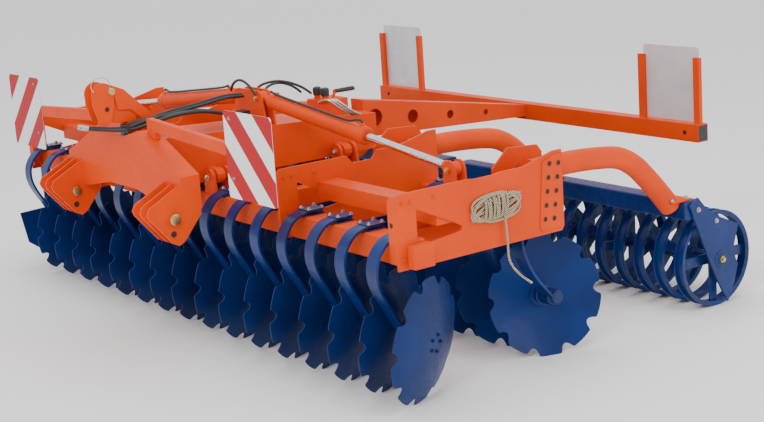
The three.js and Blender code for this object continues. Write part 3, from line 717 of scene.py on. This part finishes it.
def makeDiscs():
    template, top = makeDisc()
    bolts = []
    for k in range(disc["bolts"]):
        angle = 2 * pi * k / disc["bolts"]
        bolts.append(((disc["boltCircle"] * cos(angle), disc["boltCircle"] * sin(angle), top), (0, 0, 1)))
    heads = boltPiece(bolts, disc["boltSize"])
    heads.data.transform(Matrix.Translation(-machineZero))
    for word, row in rows.items():
        for index in range(2 * disc["perWing"]):
            node = f"{word}_disc_{index + 1:02d}"
            dish = copyPiece(template, discMatrix(row, index))
            finishPiece(dish, f"{node}_dish", discPaint, node, node, 30)
            studs = copyPiece(heads, discMatrix(row, index))
            finishPiece(studs, f"{node}_bolts", discPaint, node)
    dropPiece(template)
    dropPiece(heads)


makeDiscs()
print("stage: discs ready")


gang = {
    "beamSize": 0.120,
    "beamBottom": 0.655,
    "beamInner": 0.020,
    "beamOuter": 1.9677,
    "armWidth": 0.080,
    "armPlate": 0.014,
    "hubRadius": 0.040,
    "hubTail": 0.032,
    "pivotX": 0.250,
    "pivotZ": 0.860,
    "lugRadius": 0.044,
    "lugPlate": 0.020,
    "innerStayX": 0.500,
}
beamTop = gang["beamBottom"] + gang["beamSize"]


def springPath(row, end):
    y = row["beamY"]
    return [
        (y + 0.052, beamTop + 0.013), (y - 0.030, beamTop + 0.019), (y - 0.110, beamTop - 0.004),
        (y - 0.168, beamTop - 0.072), (y - 0.182, beamTop - 0.150), (y - 0.160, beamTop - 0.232),
        (y - 0.100, end.z + 0.128), (end.y, end.z - 0.012),
    ]


# One arm with its clamp plate and seat, and the hub at its foot, at the row's first place; the nuts of its
# two U-bolts are set on the clamp in makeGangs.
def makeArm(row):
    end = armEnd(row, 0)
    x, y = end.x, row["beamY"]
    half = gang["armWidth"] / 2
    outline = stripOutline(springPath(row, end), gang["armPlate"], 30)
    strip = platePiece(outline, "x", x - half, x + half, 0.003)
    footY, footZ = end.y + 0.004, end.z + 0.006
    foot = rodPiece((x - half - 0.005, footY, footZ), (x + half + 0.005, footY, footZ), 0.036, 0.006, 32)
    direction = discDirection(row)
    length = gang["hubTail"] + row["reach"] + disc["depth"] - disc["flangeReach"] - 0.0003
    radius = gang["hubRadius"]
    shape = [
        (0, 0), (0, radius * 0.45), (0.004, radius * 0.55), (0.005, radius * 0.9), (0.012, radius),
        (length - 0.034, radius), (length - 0.032, radius + 0.007), (length - 0.018, radius + 0.007),
        (length - 0.016, radius - 0.006), (length, radius - 0.006), (length, 0),
    ]
    hub = turnedPiece(end - direction * gang["hubTail"], direction, shape, 32)
    wide, low = half + 0.008, beamTop + 0.024
    clamp = boxPiece((x - wide, y - 0.042, low), (x + wide, y + 0.060, beamTop + 0.030), 0.003)
    wide, low = half + 0.006, beamTop + 0.0003
    seat = boxPiece((x - wide, y - 0.050, low), (x + wide, y + 0.058, beamTop + 0.006), 0.002)
    return joinPieces([strip, foot, hub]), joinPieces([clamp, seat])


def armBolts(row, index):
    x = row["armX"] - index * disc["pitch"]
    top = beamTop + 0.030
    spots = [(x + a, row["beamY"] + b, top) for a in (-0.034, 0.034) for b in (-0.028, 0.046)]
    return [(spot, (0, 0, 1)) for spot in spots]


def makeBeam(side, row):
    half = gang["beamSize"] / 2
    y = row["beamY"]
    beam = boxPiece(
        (side * gang["beamInner"], y - half, gang["beamBottom"]),
        (side * gang["beamOuter"], y + half, beamTop), 0.010, 3,
    )
    pieces = [beam]
    x, z, radius = side * gang["pivotX"], gang["pivotZ"], gang["lugRadius"]
    outline = [(x + radius * cos(pi * k / 12), z + radius * sin(pi * k / 12)) for k in range(13)]
    outline += [(x - radius - 0.012, beamTop - 0.004), (x + radius + 0.012, beamTop - 0.004)]
    for start in (y - half, y + half - gang["lugPlate"]):
        pieces.append(platePiece(outline, "y", start, start + gang["lugPlate"], 0.003))
    if row is rows["front"]:
        near, far = side * (gang["innerStayX"] - 0.040), side * (gang["innerStayX"] + 0.040)
        front, rear = y + half - 0.003, rows["rear"]["beamY"] - half - 0.0003
        stay = boxPiece((near, front, gang["beamBottom"] + 0.008), (far, rear, beamTop - 0.008), 0.007, 3)
        pieces.append(stay)
    return joinPieces(pieces)


def makeGangs():
    for word, row in rows.items():
        arm, clamp = makeArm(row)
        for name, side in sides:
            body = f"wing_{name}"
            node = f"{word}_gang_{name}"
            first = 0 if side > 0 else disc["perWing"]
            indices = range(first, first + disc["perWing"])
            steps = [Matrix.Translation((-index * disc["pitch"], 0, 0)) for index in indices]
            finishPiece(makeBeam(side, row), f"{node}_beam", orangePaint, body, node)
            finishPiece([copyPiece(arm, s) for s in steps], f"{node}_arms", bluePaint, body)
            finishPiece([copyPiece(clamp, s) for s in steps], f"{node}_clamps", bluePaint, body)
            bolts = [spot for index in indices for spot in armBolts(row, index)]
            finishPiece(boltPiece(bolts, 0.009), f"{node}_clamp_bolts", zincSteel, body)
        dropPiece(arm)
        dropPiece(clamp)


makeGangs()
print("stage: gangs ready")


wing = {
    "outer": 1.980,
    "plate": 0.012,
    "window": ((0.046, 0.918), (0.262, 0.816), (0.305, 0.790), (0.300, 0.770), (0.046, 0.745)),
    "postFront": -0.067,
    "beamEnd": 0.056,
    "middle": 1.010,
    "foldY": 0.450,
    "lug": (1.765, 1.007),
    "earSpread": 0.046,
    "sector": (
        (0.806, 1.004), (0.878, 1.030), (0.926, 1.030), (0.926, 0.690), (0.905, 0.670), (0.785, 0.670),
        (0.775, 0.690),
    ),
    "sectorFace": 0.0062,
    "sleeveRows": 5,
    "sleeveRadius": 0.0155,
}


# Holes cut in a plate, each a short sleeve that stands a hair proud round a dark floor.
def ringPieces(places, direction, profile):
    return joinPieces([turnedPiece(place, direction, profile, 20) for place in places])


def holePiece(places, radius, direction):
    inner = radius * 0.82
    return ringPieces(places, direction, [(0, inner), (0, radius), (0.0016, radius), (0.0016, inner)])


def holeShade(places, radius, direction):
    inner = radius * 0.82
    return ringPieces(places, direction, [(0, 0), (0, inner), (0.0010, inner), (0.0010, 0)])


# The front post of a side plate, a folded channel, and the beam's end beyond the plate; the post's one slot
# is added with the wing.
def makePost(side):
    outer, front = wing["outer"], wing["postFront"]
    shape = [
        (outer - 0.056, 0.680), (outer - 0.056, 0.965), (outer - 0.042, 0.985), (outer, 0.985),
        (outer, 0.680),
    ]
    face = platePiece([(side * u, v) for u, v in shape], "y", front - 0.006, front - 0.0003, 0.002)
    inner = boxPiece(
        (side * (outer - 0.056), front - 0.004, 0.682), (side * (outer - 0.050), -0.0215, 0.960), 0.001,
    )
    y, half = rows["front"]["beamY"], gang["beamSize"] / 2
    end = boxPiece(
        (side * (outer + 0.0003), y - half, gang["beamBottom"]),
        (side * (outer + wing["beamEnd"]), y + half, beamTop - 0.010), 0.008, 3,
    )
    return joinPieces([face, inner, end])


def makeWings():
    for name, side in sides:
        body = f"wing_{name}"
        node = f"wing_frame_{name}"
        outer, middle = wing["outer"], wing["middle"]
        windows = []
        for low, high in ((outer - 0.013, outer + 0.020), (middle - 0.020, middle + 0.0072)):
            windows.append(platePiece(wing["window"], "x", side * low, side * high, 0))
        weldedPiece(node, f"{node}_weldment", orangePaint, body, 0.0035, 2, windows)
        finishPiece(makePost(side), f"{node}_front_post", orangePaint, body)
        outward = (side, 0, 0)
        slot = [(side * (outer - 0.030), wing["postFront"] - 0.0062, 0.860)]
        finishPiece(holeShade(slot, 0.014, (0, -1, 0)), f"{node}_post_slot", deepShade, body)
        holes = []
        for k in range(wing["sleeveRows"]):
            for y, z in ((0.905, 0.985), (0.848, 0.990)):
                holes.append((side * (outer + wing["sectorFace"]), y - 0.010 * k, z - 0.066 * k))
        plate = platePiece(wing["sector"], "x", side * (outer + 0.0002), side * (outer + 0.0060), 0.0015)
        finishPiece(plate, f"{node}_adjuster_sector", orangePaint, body)
        sleeves = holes, wing["sleeveRadius"], outward
        finishPiece(holePiece(*sleeves), f"{node}_adjuster_sleeves", orangePaint, body)
        finishPiece(holeShade(*sleeves), f"{node}_adjuster_bores", deepShade, body)
        bolts = []
        for x in (outer + 0.0002, middle + 0.0062):
            for y in (-0.030, 0.015, 0.150):
                bolts.append(((side * x, y, 0.955), outward))
            for y in (-0.040, 0.120):
                bolts.append(((side * x, y, 0.700), outward))
        finishPiece(boltPiece(bolts, 0.0085), f"{node}_plate_bolts", orangePaint, body)
        x, z = wing["lug"]
        reach = wing["earSpread"] / 2 + wing["plate"]
        caps = [((side * x, wing["foldY"] + way * (reach + 0.0102), z), (0, way, 0)) for way in (-1, 1)]
        finishPiece(boltPiece(caps, 0.011), f"{node}_lug_pin_caps", brassZinc, body)


makeWings()
print("stage: wings ready")


roller = {
    "y": 2.070,
    "radius": 0.270,
    "inner": 0.080,
    "outer": 1.920,
    "rings": 13,
    "ringSides": 12,
    "width": 0.062,
    "shaft": 0.030,
    "endPlate": 0.014,
    "neckRadius": 0.057,
    "necks": (0.900, 1.850),
    "neckPath": (
        (0.835, 0.938), (1.100, 0.938), (1.300, 0.925), (1.440, 0.901), (1.545, 0.845), (1.630, 0.768),
        (1.715, 0.680), (1.800, 0.585),
    ),
    "beam": (1.820, 1.930, 0.512, 0.612),
    "frameEnds": (0.050, 1.950),
    "cheeks": ((0.783, 1.004), (1.745, 1.968)),
    "armPin": (0.870, 0.938, 0.024),
    "outerPlate": (
        (1.844, 0.588), (1.908, 0.625), (1.970, 0.556), (2.058, 0.498), (2.214, 0.427), (2.171, 0.289),
        (2.206, 0.207), (2.173, 0.103), (2.123, 0.014), (2.036, 0.160), (1.962, 0.313), (1.903, 0.452),
    ),
    "innerPlate": (
        (1.850, 0.520), (1.850, 0.600), (1.925, 0.600), (2.110, 0.330), (2.115, 0.220), (2.030, 0.205),
    ),
}
roller["z"] = roller["radius"] * cos(pi / roller["ringSides"])


# One ring: a channel that opens outwards, on four flat spokes.
def makeRing():
    r, half = roller["z"], roller["width"] / 2
    shape = [
        (-half, r), (-half + 0.006, r), (-half + 0.009, r - 0.016), (half - 0.009, r - 0.016),
        (half - 0.006, r), (half, r), (half, r - 0.012), (half - 0.005, r - 0.024),
        (-half + 0.005, r - 0.024), (-half, r - 0.012),
    ]
    channel = turnedPiece((0, 0, 0), (1, 0, 0), shape, 56, nowhere)
    spokes = []
    for k in range(2):
        spoke = boxPiece((-0.006, -0.028, -r + 0.020), (0.006, 0.028, r - 0.020), 0.002, 1)
        spoke.data.transform(Matrix.Rotation(pi / 2 * k, 4, "X") @ Matrix.Translation(-machineZero))
        spokes.append(spoke)
    shape = [(0, 0), (0, 0.040), (0.002, 0.043), (0.030, 0.043), (0.032, 0.040), (0.032, 0)]
    boss = turnedPiece((-0.016, 0, 0), (1, 0, 0), shape, 28, nowhere)
    return joinPieces([channel, boss] + spokes)


def makeRollers():
    ring = makeRing()
    step = (roller["outer"] - roller["inner"] - roller["width"]) / (roller["rings"] - 1)
    for name, side in sides:
        body = f"roller_{name}"
        pieces = []
        for k in range(roller["rings"]):
            x = side * (roller["inner"] + roller["width"] / 2 + k * step)
            turn = Matrix.Rotation(radians(22.5 * (k % 4)), 4, "X")
            place = Matrix.Translation(onMachine(x, roller["y"], roller["z"]))
            pieces.append(copyPiece(ring, place @ turn))
        ends = [side * (roller["inner"] - 0.010), side * (roller["outer"] + 0.010)]
        y, z = roller["y"], roller["z"]
        pieces.append(rodPiece((ends[0], y, z), (ends[1], y, z), roller["shaft"]))
        pieces.append(rodPiece((ends[0] - side * 0.018, y, z), (ends[1] + side * 0.018, y, z), 0.022))
        finishPiece(pieces, f"roller_{name}_cage", bluePaint, body, body)
    dropPiece(ring)


def makeRollerFrames():
    front, rear, bottom, top = roller["beam"]
    for name, side in sides:
        body = f"wing_{name}"
        node = f"roller_frame_{name}"
        necks, feet, bolts = [], [], []
        for x in roller["necks"]:
            path = [(side * x, y, z) for y, z in roller["neckPath"]]
            necks.append(tubePiece(path, roller["neckRadius"], 48, 8))
            wide = roller["neckRadius"] + 0.004
            collar = [(0, 0), (0, wide), (0.010, wide), (0.010, 0)]
            necks.append(turnedPiece(Vector(path[0]) + Vector((0, 0.006, 0)), (0, -1, 0), collar, 32))
            low, high = side * (x - 0.075), side * (x + 0.075)
            feet.append(boxPiece((low, 1.740, top + 0.0005), (high, 1.875, top + 0.014), 0.003))
            for a in (-0.060, 0.060):
                for y in (1.755, 1.860):
                    bolts.append(((side * x + a, y, top + 0.014), (0, 0, 1)))
        pins = []
        y, z, radius = roller["armPin"]
        for low, high in roller["cheeks"]:
            pins.append(rodPiece((side * (low + 0.0003), y, z), (side * (high - 0.0003), y, z), radius))
        finishPiece(necks + feet, f"{node}_arched_arms", orangePaint, body, node)
        finishPiece(pins, f"{node}_arm_pins", zincSteel, body)
        beam = boxPiece((side * 0.0642, front, bottom), (side * 1.9358, rear, top), 0.010, 3)
        near, far = roller["frameEnds"]
        inner = platePiece(roller["innerPlate"], "x", side * near, side * (near + roller["endPlate"]), 0.003)
        outer = platePiece(roller["outerPlate"], "x", side * (far - roller["endPlate"]), side * far, 0.003)
        y, z = roller["y"], roller["z"]
        hub = [(0, 0), (0, 0.046), (0.004, 0.044), (0.006, 0.030), (0.010, 0.028), (0.012, 0)]
        ends = ((far + 0.0002, side), (near - 0.0002, -side))
        hubs = [turnedPiece((side * x, y, z), (way, 0, 0), hub, 32) for x, way in ends]
        finishPiece([beam, inner, outer] + hubs, f"{node}_beam_and_plates", bluePaint, body)
        bearing = boltPiece([((side * 1.9625, y, z), (side, 0, 0))], 0.013)
        finishPiece(bearing, f"{node}_bearing_bolt", brassZinc, body)
        for spot in ((2.040, 0.476), (1.905, 0.560)):
            bolts.append(((side * 1.9503, *spot), (side, 0, 0)))
        finishPiece(boltPiece(bolts, 0.010), f"{node}_bolts", zincSteel, body)


makeRollers()
makeRollerFrames()
print("stage: rollers ready")


hitch = {
    "x": 0.560,
    "spread": 0.080,
    "pin": (-0.461, 0.773),
    "topPin": (-0.435, 1.364),
    "cheekTop": (-0.484, 1.352, 0.064),
    "cheekFoot": [(-0.546, 1.300), (-0.520, 1.212), (-0.448, 1.200), (-0.424, 1.290)],
    "brace": [
        (-0.432, 1.398), (-0.361, 1.366), (-0.222, 1.226), (-0.200, 1.190), (-0.200, 1.101),
        (-0.260, 1.1003), (-0.262, 1.190), (-0.335, 1.256), (-0.405, 1.262),
    ],
    "outerHead": [(0, 0), (0, 0.026), (0.003, 0.029), (0.010, 0.029), (0.013, 0.024), (0.013, 0)],
    "innerHead": [(0, 0), (0, 0.024), (0.003, 0.026), (0.008, 0.026), (0.010, 0.022), (0.010, 0)],
    "topHead": [(0, 0), (0, 0.020), (0.004, 0.021), (0.009, 0.018), (0.009, 0)],
    "spareHole": 0.020,
    "spareDrop": (0.004, 0.078),
}


def makeCentre():
    weldedPiece("centre_frame", "centre_frame_box", orangePaint, "centre", 0.005, 3)
    caps = []
    for side in (-1, 1):
        for y in (rows["front"]["beamY"], rows["rear"]["beamY"]):
            for way in (-1, 1):
                caps.append(((side * gang["pivotX"], y + way * 0.0682, gang["pivotZ"]), (0, way, 0)))
    finishPiece(boltPiece(caps, 0.013), "hinge_pin_caps", zincSteel, "centre")
    anchors = []
    for side in (-1, 1):
        for way in (-1, 1):
            anchors.append(((side * 0.100, wing["foldY"] + way * 0.0452, 1.210), (0, way, 0)))
    finishPiece(boltPiece(anchors, 0.011), "anchor_pin_caps", brassZinc, "centre")


def makeHeadstock():
    weldedPiece("headstock", "headstock_girder", orangePaint, "centre", 0.004)
    weldedPiece("top_link_bracket", "top_link_cheeks", orangePaint, "centre", 0.003)
    pins = []
    y, z = hitch["pin"]
    wide, narrow = hitch["x"] + hitch["spread"], hitch["x"] - hitch["spread"]
    heads = ((wide + 0.019, 1, hitch["outerHead"]), (narrow - 0.0202, -1, hitch["innerHead"]))
    for side in (-1, 1):
        for x, way, head in heads:
            pins.append(turnedPiece((side * x, y, z), (way * side, 0, 0), head, 28))
    spare = []
    back, down = hitch["spareDrop"]
    for side in (-1, 1):
        for x, way in ((wide + 0.0002, side), (narrow - 0.0062, -side)):
            spare.append(((side * x, y - back, z - down), (way, 0, 0)))
    for name, make, material in (("rims", holePiece, orangePaint), ("bores", holeShade, deepShade)):
        pieces = [make([place], hitch["spareHole"], direction) for place, direction in spare]
        finishPiece(pieces, f"clevis_spare_hole_{name}", material, "centre")
    topY, topZ = hitch["topPin"]
    for way in (-1, 1):
        pins.append(turnedPiece((way * 0.0502, topY, topZ), (way, 0, 0), hitch["topHead"], 24))
    finishPiece(pins, "hitch_pin_heads", brassZinc, "centre")
    y, z, radius = hitch["cheekTop"]
    angles = [radians(-15 + 210 * k / 12) for k in range(13)]
    cheek = [(y + radius * cos(angle), z + radius * sin(angle)) for angle in angles] + hitch["cheekFoot"]
    plates, bores, rims = [], [], []
    for way in (-1, 1):
        plates.append(platePiece(cheek, "x", way * 0.0363, way * 0.0483, 0.0025))
        plates.append(platePiece(hitch["brace"], "x", way * 0.0368, way * 0.0478, 0.0025))
        bores.append(holeShade([(way * 0.0484, -0.470, 1.275)], 0.016, (way, 0, 0)))
        rims.append(holePiece([(way * 0.0484, -0.470, 1.275)], 0.016, (way, 0, 0)))
    finishPiece(plates + rims, "top_link_rounded_cheeks", orangePaint, "centre")
    finishPiece(bores, "top_link_spare_bores", deepShade, "centre")
    ring = []
    for k in range(25):
        angle = radians(-40 + 260 * k / 24)
        ring.append((0.052, -0.495 + 0.054 * cos(angle), 1.403 + 0.043 * sin(angle)))
    finishPiece(tubePiece(ring, 0.0022, 60, 3), "top_pin_ring", zincSteel, "centre")


def makeCarrier():
    weldedPiece("light_bar_carrier", "carrier_channel", orangePaint, "centre", 0.003)
    above = boxPiece((-1.60, 2.380, 1.258), (1.60, 2.520, 1.450), 0)
    weldedPiece("light_bar", "light_bar_tube", orangePaint, "centre", 0.004, 2, [above])
    plugs, spots = [], []
    for side in (-1, 1):
        plugs.append(boxPiece((side * 1.5002, 2.416, 0.791), (side * 1.5030, 2.484, 0.879), 0.001, 1))
        spots.append(((side * 1.400, 2.4098, 0.835), (0, -1, 0)))
    finishPiece(plugs, "light_bar_plugs", blackPlastic, "centre")
    bores = [holeShade([place], 0.016, direction) for place, direction in spots]
    finishPiece(bores, "light_bar_bores", deepShade, "centre")


makeCentre()
makeHeadstock()
makeCarrier()
print("stage: centre ready")


sign = {
    "size": 0.423, "plate": 0.004, "x": 1.262, "panelY": -0.356, "panelBottom": 0.922, "corner": 0.018,
    "rearFace": 2.4553, "rearBottom": 0.891,
    "shoulder": ((0.220, 1.165), (0.640, 0.972)),  # the headstock's slope, high end and low end
}


def signOutline(middle, bottom):
    half, corner = sign["size"] / 2, sign["corner"]
    points = []
    for cornerX, cornerZ, start in ((1, 1, 0), (-1, 1, 90), (-1, -1, 180), (1, -1, 270)):
        for k in range(7):
            angle = radians(start + 15 * k)
            x = middle + cornerX * (half - corner) + corner * cos(angle)
            points.append((x, bottom + half + cornerZ * (half - corner) + corner * sin(angle)))
    return points


def makeSigns():
    (highX, highZ), (lowX, lowZ) = sign["shoulder"]
    front, bottom = sign["rearFace"], sign["rearBottom"]
    for name, side in sides:
        x = side * sign["x"]
        y = sign["panelY"]
        face = platePiece(signOutline(x, sign["panelBottom"]), "y", y - sign["plate"], y - 0.0022, 0.0006, 1)
        finishPiece(face, f"warning_panel_{name}_face", stripes, "centre", f"warning_panel_{name}")
        board = platePiece(signOutline(x, sign["panelBottom"]), "y", y - 0.0020, y, 0.0006, 1)
        finishPiece(board, f"warning_panel_{name}_board", signMetal, "centre")
        fall = (lowZ - highZ) / (lowX - highX)
        onShoulder = [(at, highZ + fall * (at - highX) + 0.0006) for at in (0.250, 0.320)]
        shape = onShoulder + [(0.330, 1.160), (1.130, 1.115), (1.130, 1.175), (0.250, 1.230)]
        arm = platePiece([(side * u, v) for u, v in shape], "y", y + 0.0003, y + 0.040, 0.006, 3)
        strap = boxPiece((side * 1.090, y + 0.0003, 1.000), (side * 1.130, y + 0.012, 1.330), 0.002)
        finishPiece([arm, strap], f"warning_panel_{name}_arm", orangePaint, "centre")
        bolts = [((side * 1.110, y - sign["plate"] - 0.0002, z), (0, -1, 0)) for z in (1.020, 1.310)]
        finishPiece(boltPiece(bolts, 0.007), f"warning_panel_{name}_bolts", zincSteel, "centre")
        back = platePiece(signOutline(x, bottom), "y", front, front + 0.0020, 0.0006, 1)
        finishPiece(back, f"rear_sign_{name}_back", signMetal, "centre", f"rear_sign_{name}")
        face = platePiece(signOutline(x, bottom), "y", front + 0.0022, front + sign["plate"], 0.0006, 1)
        finishPiece(face, f"rear_sign_{name}_face", stripes, "centre")


makeSigns()
print("stage: signs ready")


cylinder = {
    "anchor": (0.100, 1.210),
    "barrelRadius": 0.044,
    "barrelStart": 0.100,
    "barrelLength": 0.880,
    "rodRadius": 0.020,
    "eyeHalf": 0.0225,
    "pinBore": 0.0146,
}


def eyePiece(pin, half, radius, bore):
    soft = radius - 0.003
    width = 2 * half
    profile = [(0, bore), (0, soft), (0.003, radius), (width - 0.003, radius), (width, soft), (width, bore)]
    return turnedPiece(pin - Vector((0, half, 0)), (0, 1, 0), profile, 36)


def makeCylinders():
    for name, side in sides:
        y = wing["foldY"]
        anchor = Vector((side * cylinder["anchor"][0], y, cylinder["anchor"][1]))
        lug = Vector((side * wing["lug"][0], y, wing["lug"][1]))
        span = (lug - anchor).length
        along = (lug - anchor).normalized()
        half, bore = cylinder["eyeHalf"], cylinder["pinBore"]
        start, length, radius = cylinder["barrelStart"], cylinder["barrelLength"], cylinder["barrelRadius"]
        eye = eyePiece(anchor, half, 0.036, bore)
        shell = turnedPiece(
            anchor + along * (start - 0.072),
            along,
            [
                (0, 0), (0, 0.017), (0.062, 0.019), (0.066, radius - 0.008), (0.072, radius - 0.001),
                (0.084, radius + 0.0015), (0.096, radius), (length + 0.010, radius),
                (length + 0.012, radius + 0.004), (length + 0.060, radius + 0.004),
                (length + 0.064, radius), (length + 0.072, radius - 0.006),
                (length + 0.072, cylinder["rodRadius"] + 0.0012),
                (length - 0.500, cylinder["rodRadius"] + 0.0012), (length - 0.500, 0),
            ], 44,
        )
        above = (Vector((0, 0, 1)) - along * along.z).normalized()
        port = [(0, 0), (0, 0.014), (0.014, 0.014), (0.016, 0.012), (0.016, 0)]
        ports = []
        for distance in (start + 0.045, start + length - 0.045):
            place = anchor + along * distance + above * (radius - 0.003)
            ports.append(turnedPiece(place, above, port, 20))
        body = f"barrel_{name}"
        finishPiece(
            [eye, shell] + ports, f"fold_barrel_{name}_tube", orangePaint, body, f"fold_barrel_{name}",
        )
        # distance along the barrel, height above it, how far forward
        stations = (
            (length - 0.045, 0.016, 0), (length - 0.050, 0.028, 0), (length - 0.085, 0.026, 0.009),
            (length - 0.160, 0.010, 0.015), (length * 0.5, 0.008, 0.018), (0.110, 0.009, 0.018),
            (0.020, 0.018, 0.024),
        )
        pipe = []
        for distance, height, ahead in stations:
            place = anchor + along * (start + distance) + above * (radius + height)
            pipe.append(place - Vector((0, ahead, 0)))
        finishPiece(tubePiece(pipe, 0.0065, 60, 3), f"fold_barrel_{name}_hose", hoseRubber, body)
        rodEye = eyePiece(lug, half, 0.034, 0)
        collar = turnedPiece(
            anchor + along * (span - 0.075), along,
            [(0, 0), (0, cylinder["rodRadius"] + 0.001), (0.006, 0.026), (0.050, 0.027), (0.050, 0)], 30,
        )
        rodStart = start + length - 0.050
        rod = rodPiece(
            anchor + along * rodStart, anchor + along * (span - 0.060), cylinder["rodRadius"], 0.002, 36,
        )
        finishPiece(rod, f"fold_rod_{name}_shaft", chromeRod, f"rod_{name}", f"fold_rod_{name}")
        finishPiece([rodEye, collar], f"fold_rod_{name}_eye", orangePaint, f"rod_{name}")


makeCylinders()
print("stage: cylinders ready")


hose = {
    "path": (
        (-0.015, -0.590, 1.190), (0.010, -0.500, 1.172), (0.052, -0.420, 1.161), (0.092, -0.345, 1.164),
        (0.120, -0.270, 1.182), (0.140, -0.130, 1.206), (0.128, 0.030, 1.200), (0.095, 0.200, 1.160),
        (0.048, 0.340, 1.125),
    ),
    "radius": 0.011,
    "spacing": 0.023,
    "socket": [(0, 0.0112), (0, 0.014), (0.030, 0.014), (0.031, 0.011), (0.036, 0.011), (0.036, 0)],
    "loops": (
        ((-0.145, 0.395, 1.240), (0.115, 0.395, 1.235), 0.070),
        ((-0.060, 0.505, 1.235), (0.060, 0.800, 1.180), 0.060),
        ((0.030, 0.505, 1.235), (-0.050, 0.800, 1.180), 0.050),
    ),
}


# A short hose that rises in a loop from one fitting to the next.
def loopHose(start, end, rise):
    start, end = Vector(start), Vector(end)
    points = []
    for k in range(9):
        t = k / 8
        points.append(start.lerp(end, t) + Vector((0, -0.010, rise)) * sin(pi * t) ** 0.75)
    return tubePiece(points, 0.0075, 50, 4)


def makeLoops():
    loops = [loopHose(start, end, rise) for start, end, rise in hose["loops"]]
    finishPiece(loops, "anchor_hose_loops", hoseRubber, "centre")
    drops = []
    for k in range(3):
        shift = 0.016 * k
        drop = [
            (0.060 + shift, 0.840 + shift, 1.120), (0.120 + shift, 0.870 + shift, 1.135),
            (0.172 + shift, 0.930 + shift, 1.075), (0.150 + shift / 2, 1.030 + shift, 1.030),
            (0.080 + shift / 2, 1.100 + shift, 1.0285),
        ]
        drops.append(tubePiece(drop, 0.0065, 40, 4))
    finishPiece(drops, "valve_hoses", zincSteel, "centre")


def makeHoses():
    tubes, sockets = [], []
    for reach, height, ahead in ((0.030, 1.214, 0.0), (0.008, 1.222, 0.012), (-0.020, 1.206, -0.012)):
        path = [
            (0.070 + reach, -0.385 + ahead, 1.172), (0.096 + reach, -0.290, 1.196),
            (0.100 + reach, -0.140, height), (0.070 + reach, 0.060, height + 0.012),
            (0.020 + reach, 0.240, height + 0.020), (-0.020 + reach, 0.380, height + 0.008),
        ]
        tubes.append(tubePiece(path, 0.0085, 60, 4))
    for step in (-1, 0, 1):
        path = [(x + step * hose["spacing"], y, z) for x, y, z in hose["path"]]
        tubes.append(tubePiece(path, hose["radius"], 70, 5))
        tip = Vector(path[0])
        along = (tip - Vector(path[1])).normalized()
        sockets.append(turnedPiece(tip - along * 0.020, along, hose["socket"], 20))
    finishPiece(tubes, "hoses_tubes", hoseRubber, "centre", "hoses")
    finishPiece(sockets, "hoses_couplings", zincSteel, "centre")
    clip = boxPiece((0.025, -0.398, 1.1425), (0.112, -0.372, 1.184), 0.004)
    foot = boxPiece((0.026, -0.396, 1.1282), (0.068, -0.374, 1.145), 0.002)
    block = boxPiece((0.010, 0.322, 1.080), (0.086, 0.372, 1.150), 0.004)
    finishPiece([clip, foot, block], "hoses_clip_and_block", blackPlastic, "centre")


def makeValve():
    weldedPiece("valve_block", "valve_block_body", orangePaint, "centre", 0.003)
    knob = [(0, 0), (0, 0.024), (0.030, 0.026), (0.044, 0.022), (0.048, 0.012), (0.048, 0)]
    lever = [(0, 0), (0, 0.012), (0.120, 0.0135), (0.134, 0.012), (0.138, 0)]
    knobs = [turnedPiece((x, 0.905, 1.150), (0, 0, 1), knob, 24) for x in (-0.040, 0.040)]
    knobs.append(turnedPiece((0, 1.000, 1.161), (0, 1, 0), lever, 20))
    finishPiece(knobs, "valve_block_grips", blackPlastic, "centre")


rope = {"laps": 9, "wraps": 9, "lapRadius": 0.0058, "wrapRadius": 0.0056, "tailRadius": 0.0055}


def makeRope():
    x = wing["outer"] + 0.0003 + 0.013
    loops = []
    for lap in range(rope["laps"]):
        points = []
        for k in range(33):
            angle = 2 * pi * k / 32
            reach = 1 - 0.035 * (lap % 4)
            rise = 0.012 + 0.0052 * lap
            wander = 0.004 * sin(3 * angle + 1.7 * lap)
            across = x - 0.004 + 0.005 * sin(2.1 * lap + angle)
            along = 0.505 + 0.146 * reach * cos(angle + 0.1 * lap)
            points.append((across, along, 0.845 + rise * sin(angle) + wander + 0.04 * cos(angle)))
        loops.append(tubePiece(points, rope["lapRadius"], 64, 3))
    hanging = [
        (x + 0.006, 0.547, 0.800), (x + 0.010, 0.552, 0.690), (x + 0.008, 0.560, 0.580),
        (x, 0.620, 0.500), (x - 0.020, 0.715, 0.430),
    ]
    tail = tubePiece(hanging, rope["tailRadius"], 50, 3)
    knot = []
    for k in range(rope["wraps"]):
        ring = []
        for j in range(17):
            angle = 2 * pi * j / 16
            along = 0.430 + 0.0165 * k + 0.004 * sin(2.3 * k + angle)
            ring.append((x + 0.001 + 0.0135 * cos(angle), along, 0.840 + 0.004 * k / 2 + 0.047 * sin(angle)))
        knot.append(tubePiece(ring, rope["wrapRadius"], 40, 3))
    finishPiece(loops + [tail] + knot, "pull_rope_hank", ropeFibre, "wing_left", "pull_rope")


def makeDeflector():
    weldedPiece("side_deflector", "side_deflector_plate", bluePaint, "wing_right", 0.002)


makeHoses()
makeLoops()
makeValve()
makeRope()
makeDeflector()
print("stage: fittings ready")

bpy.context.view_layer.update()
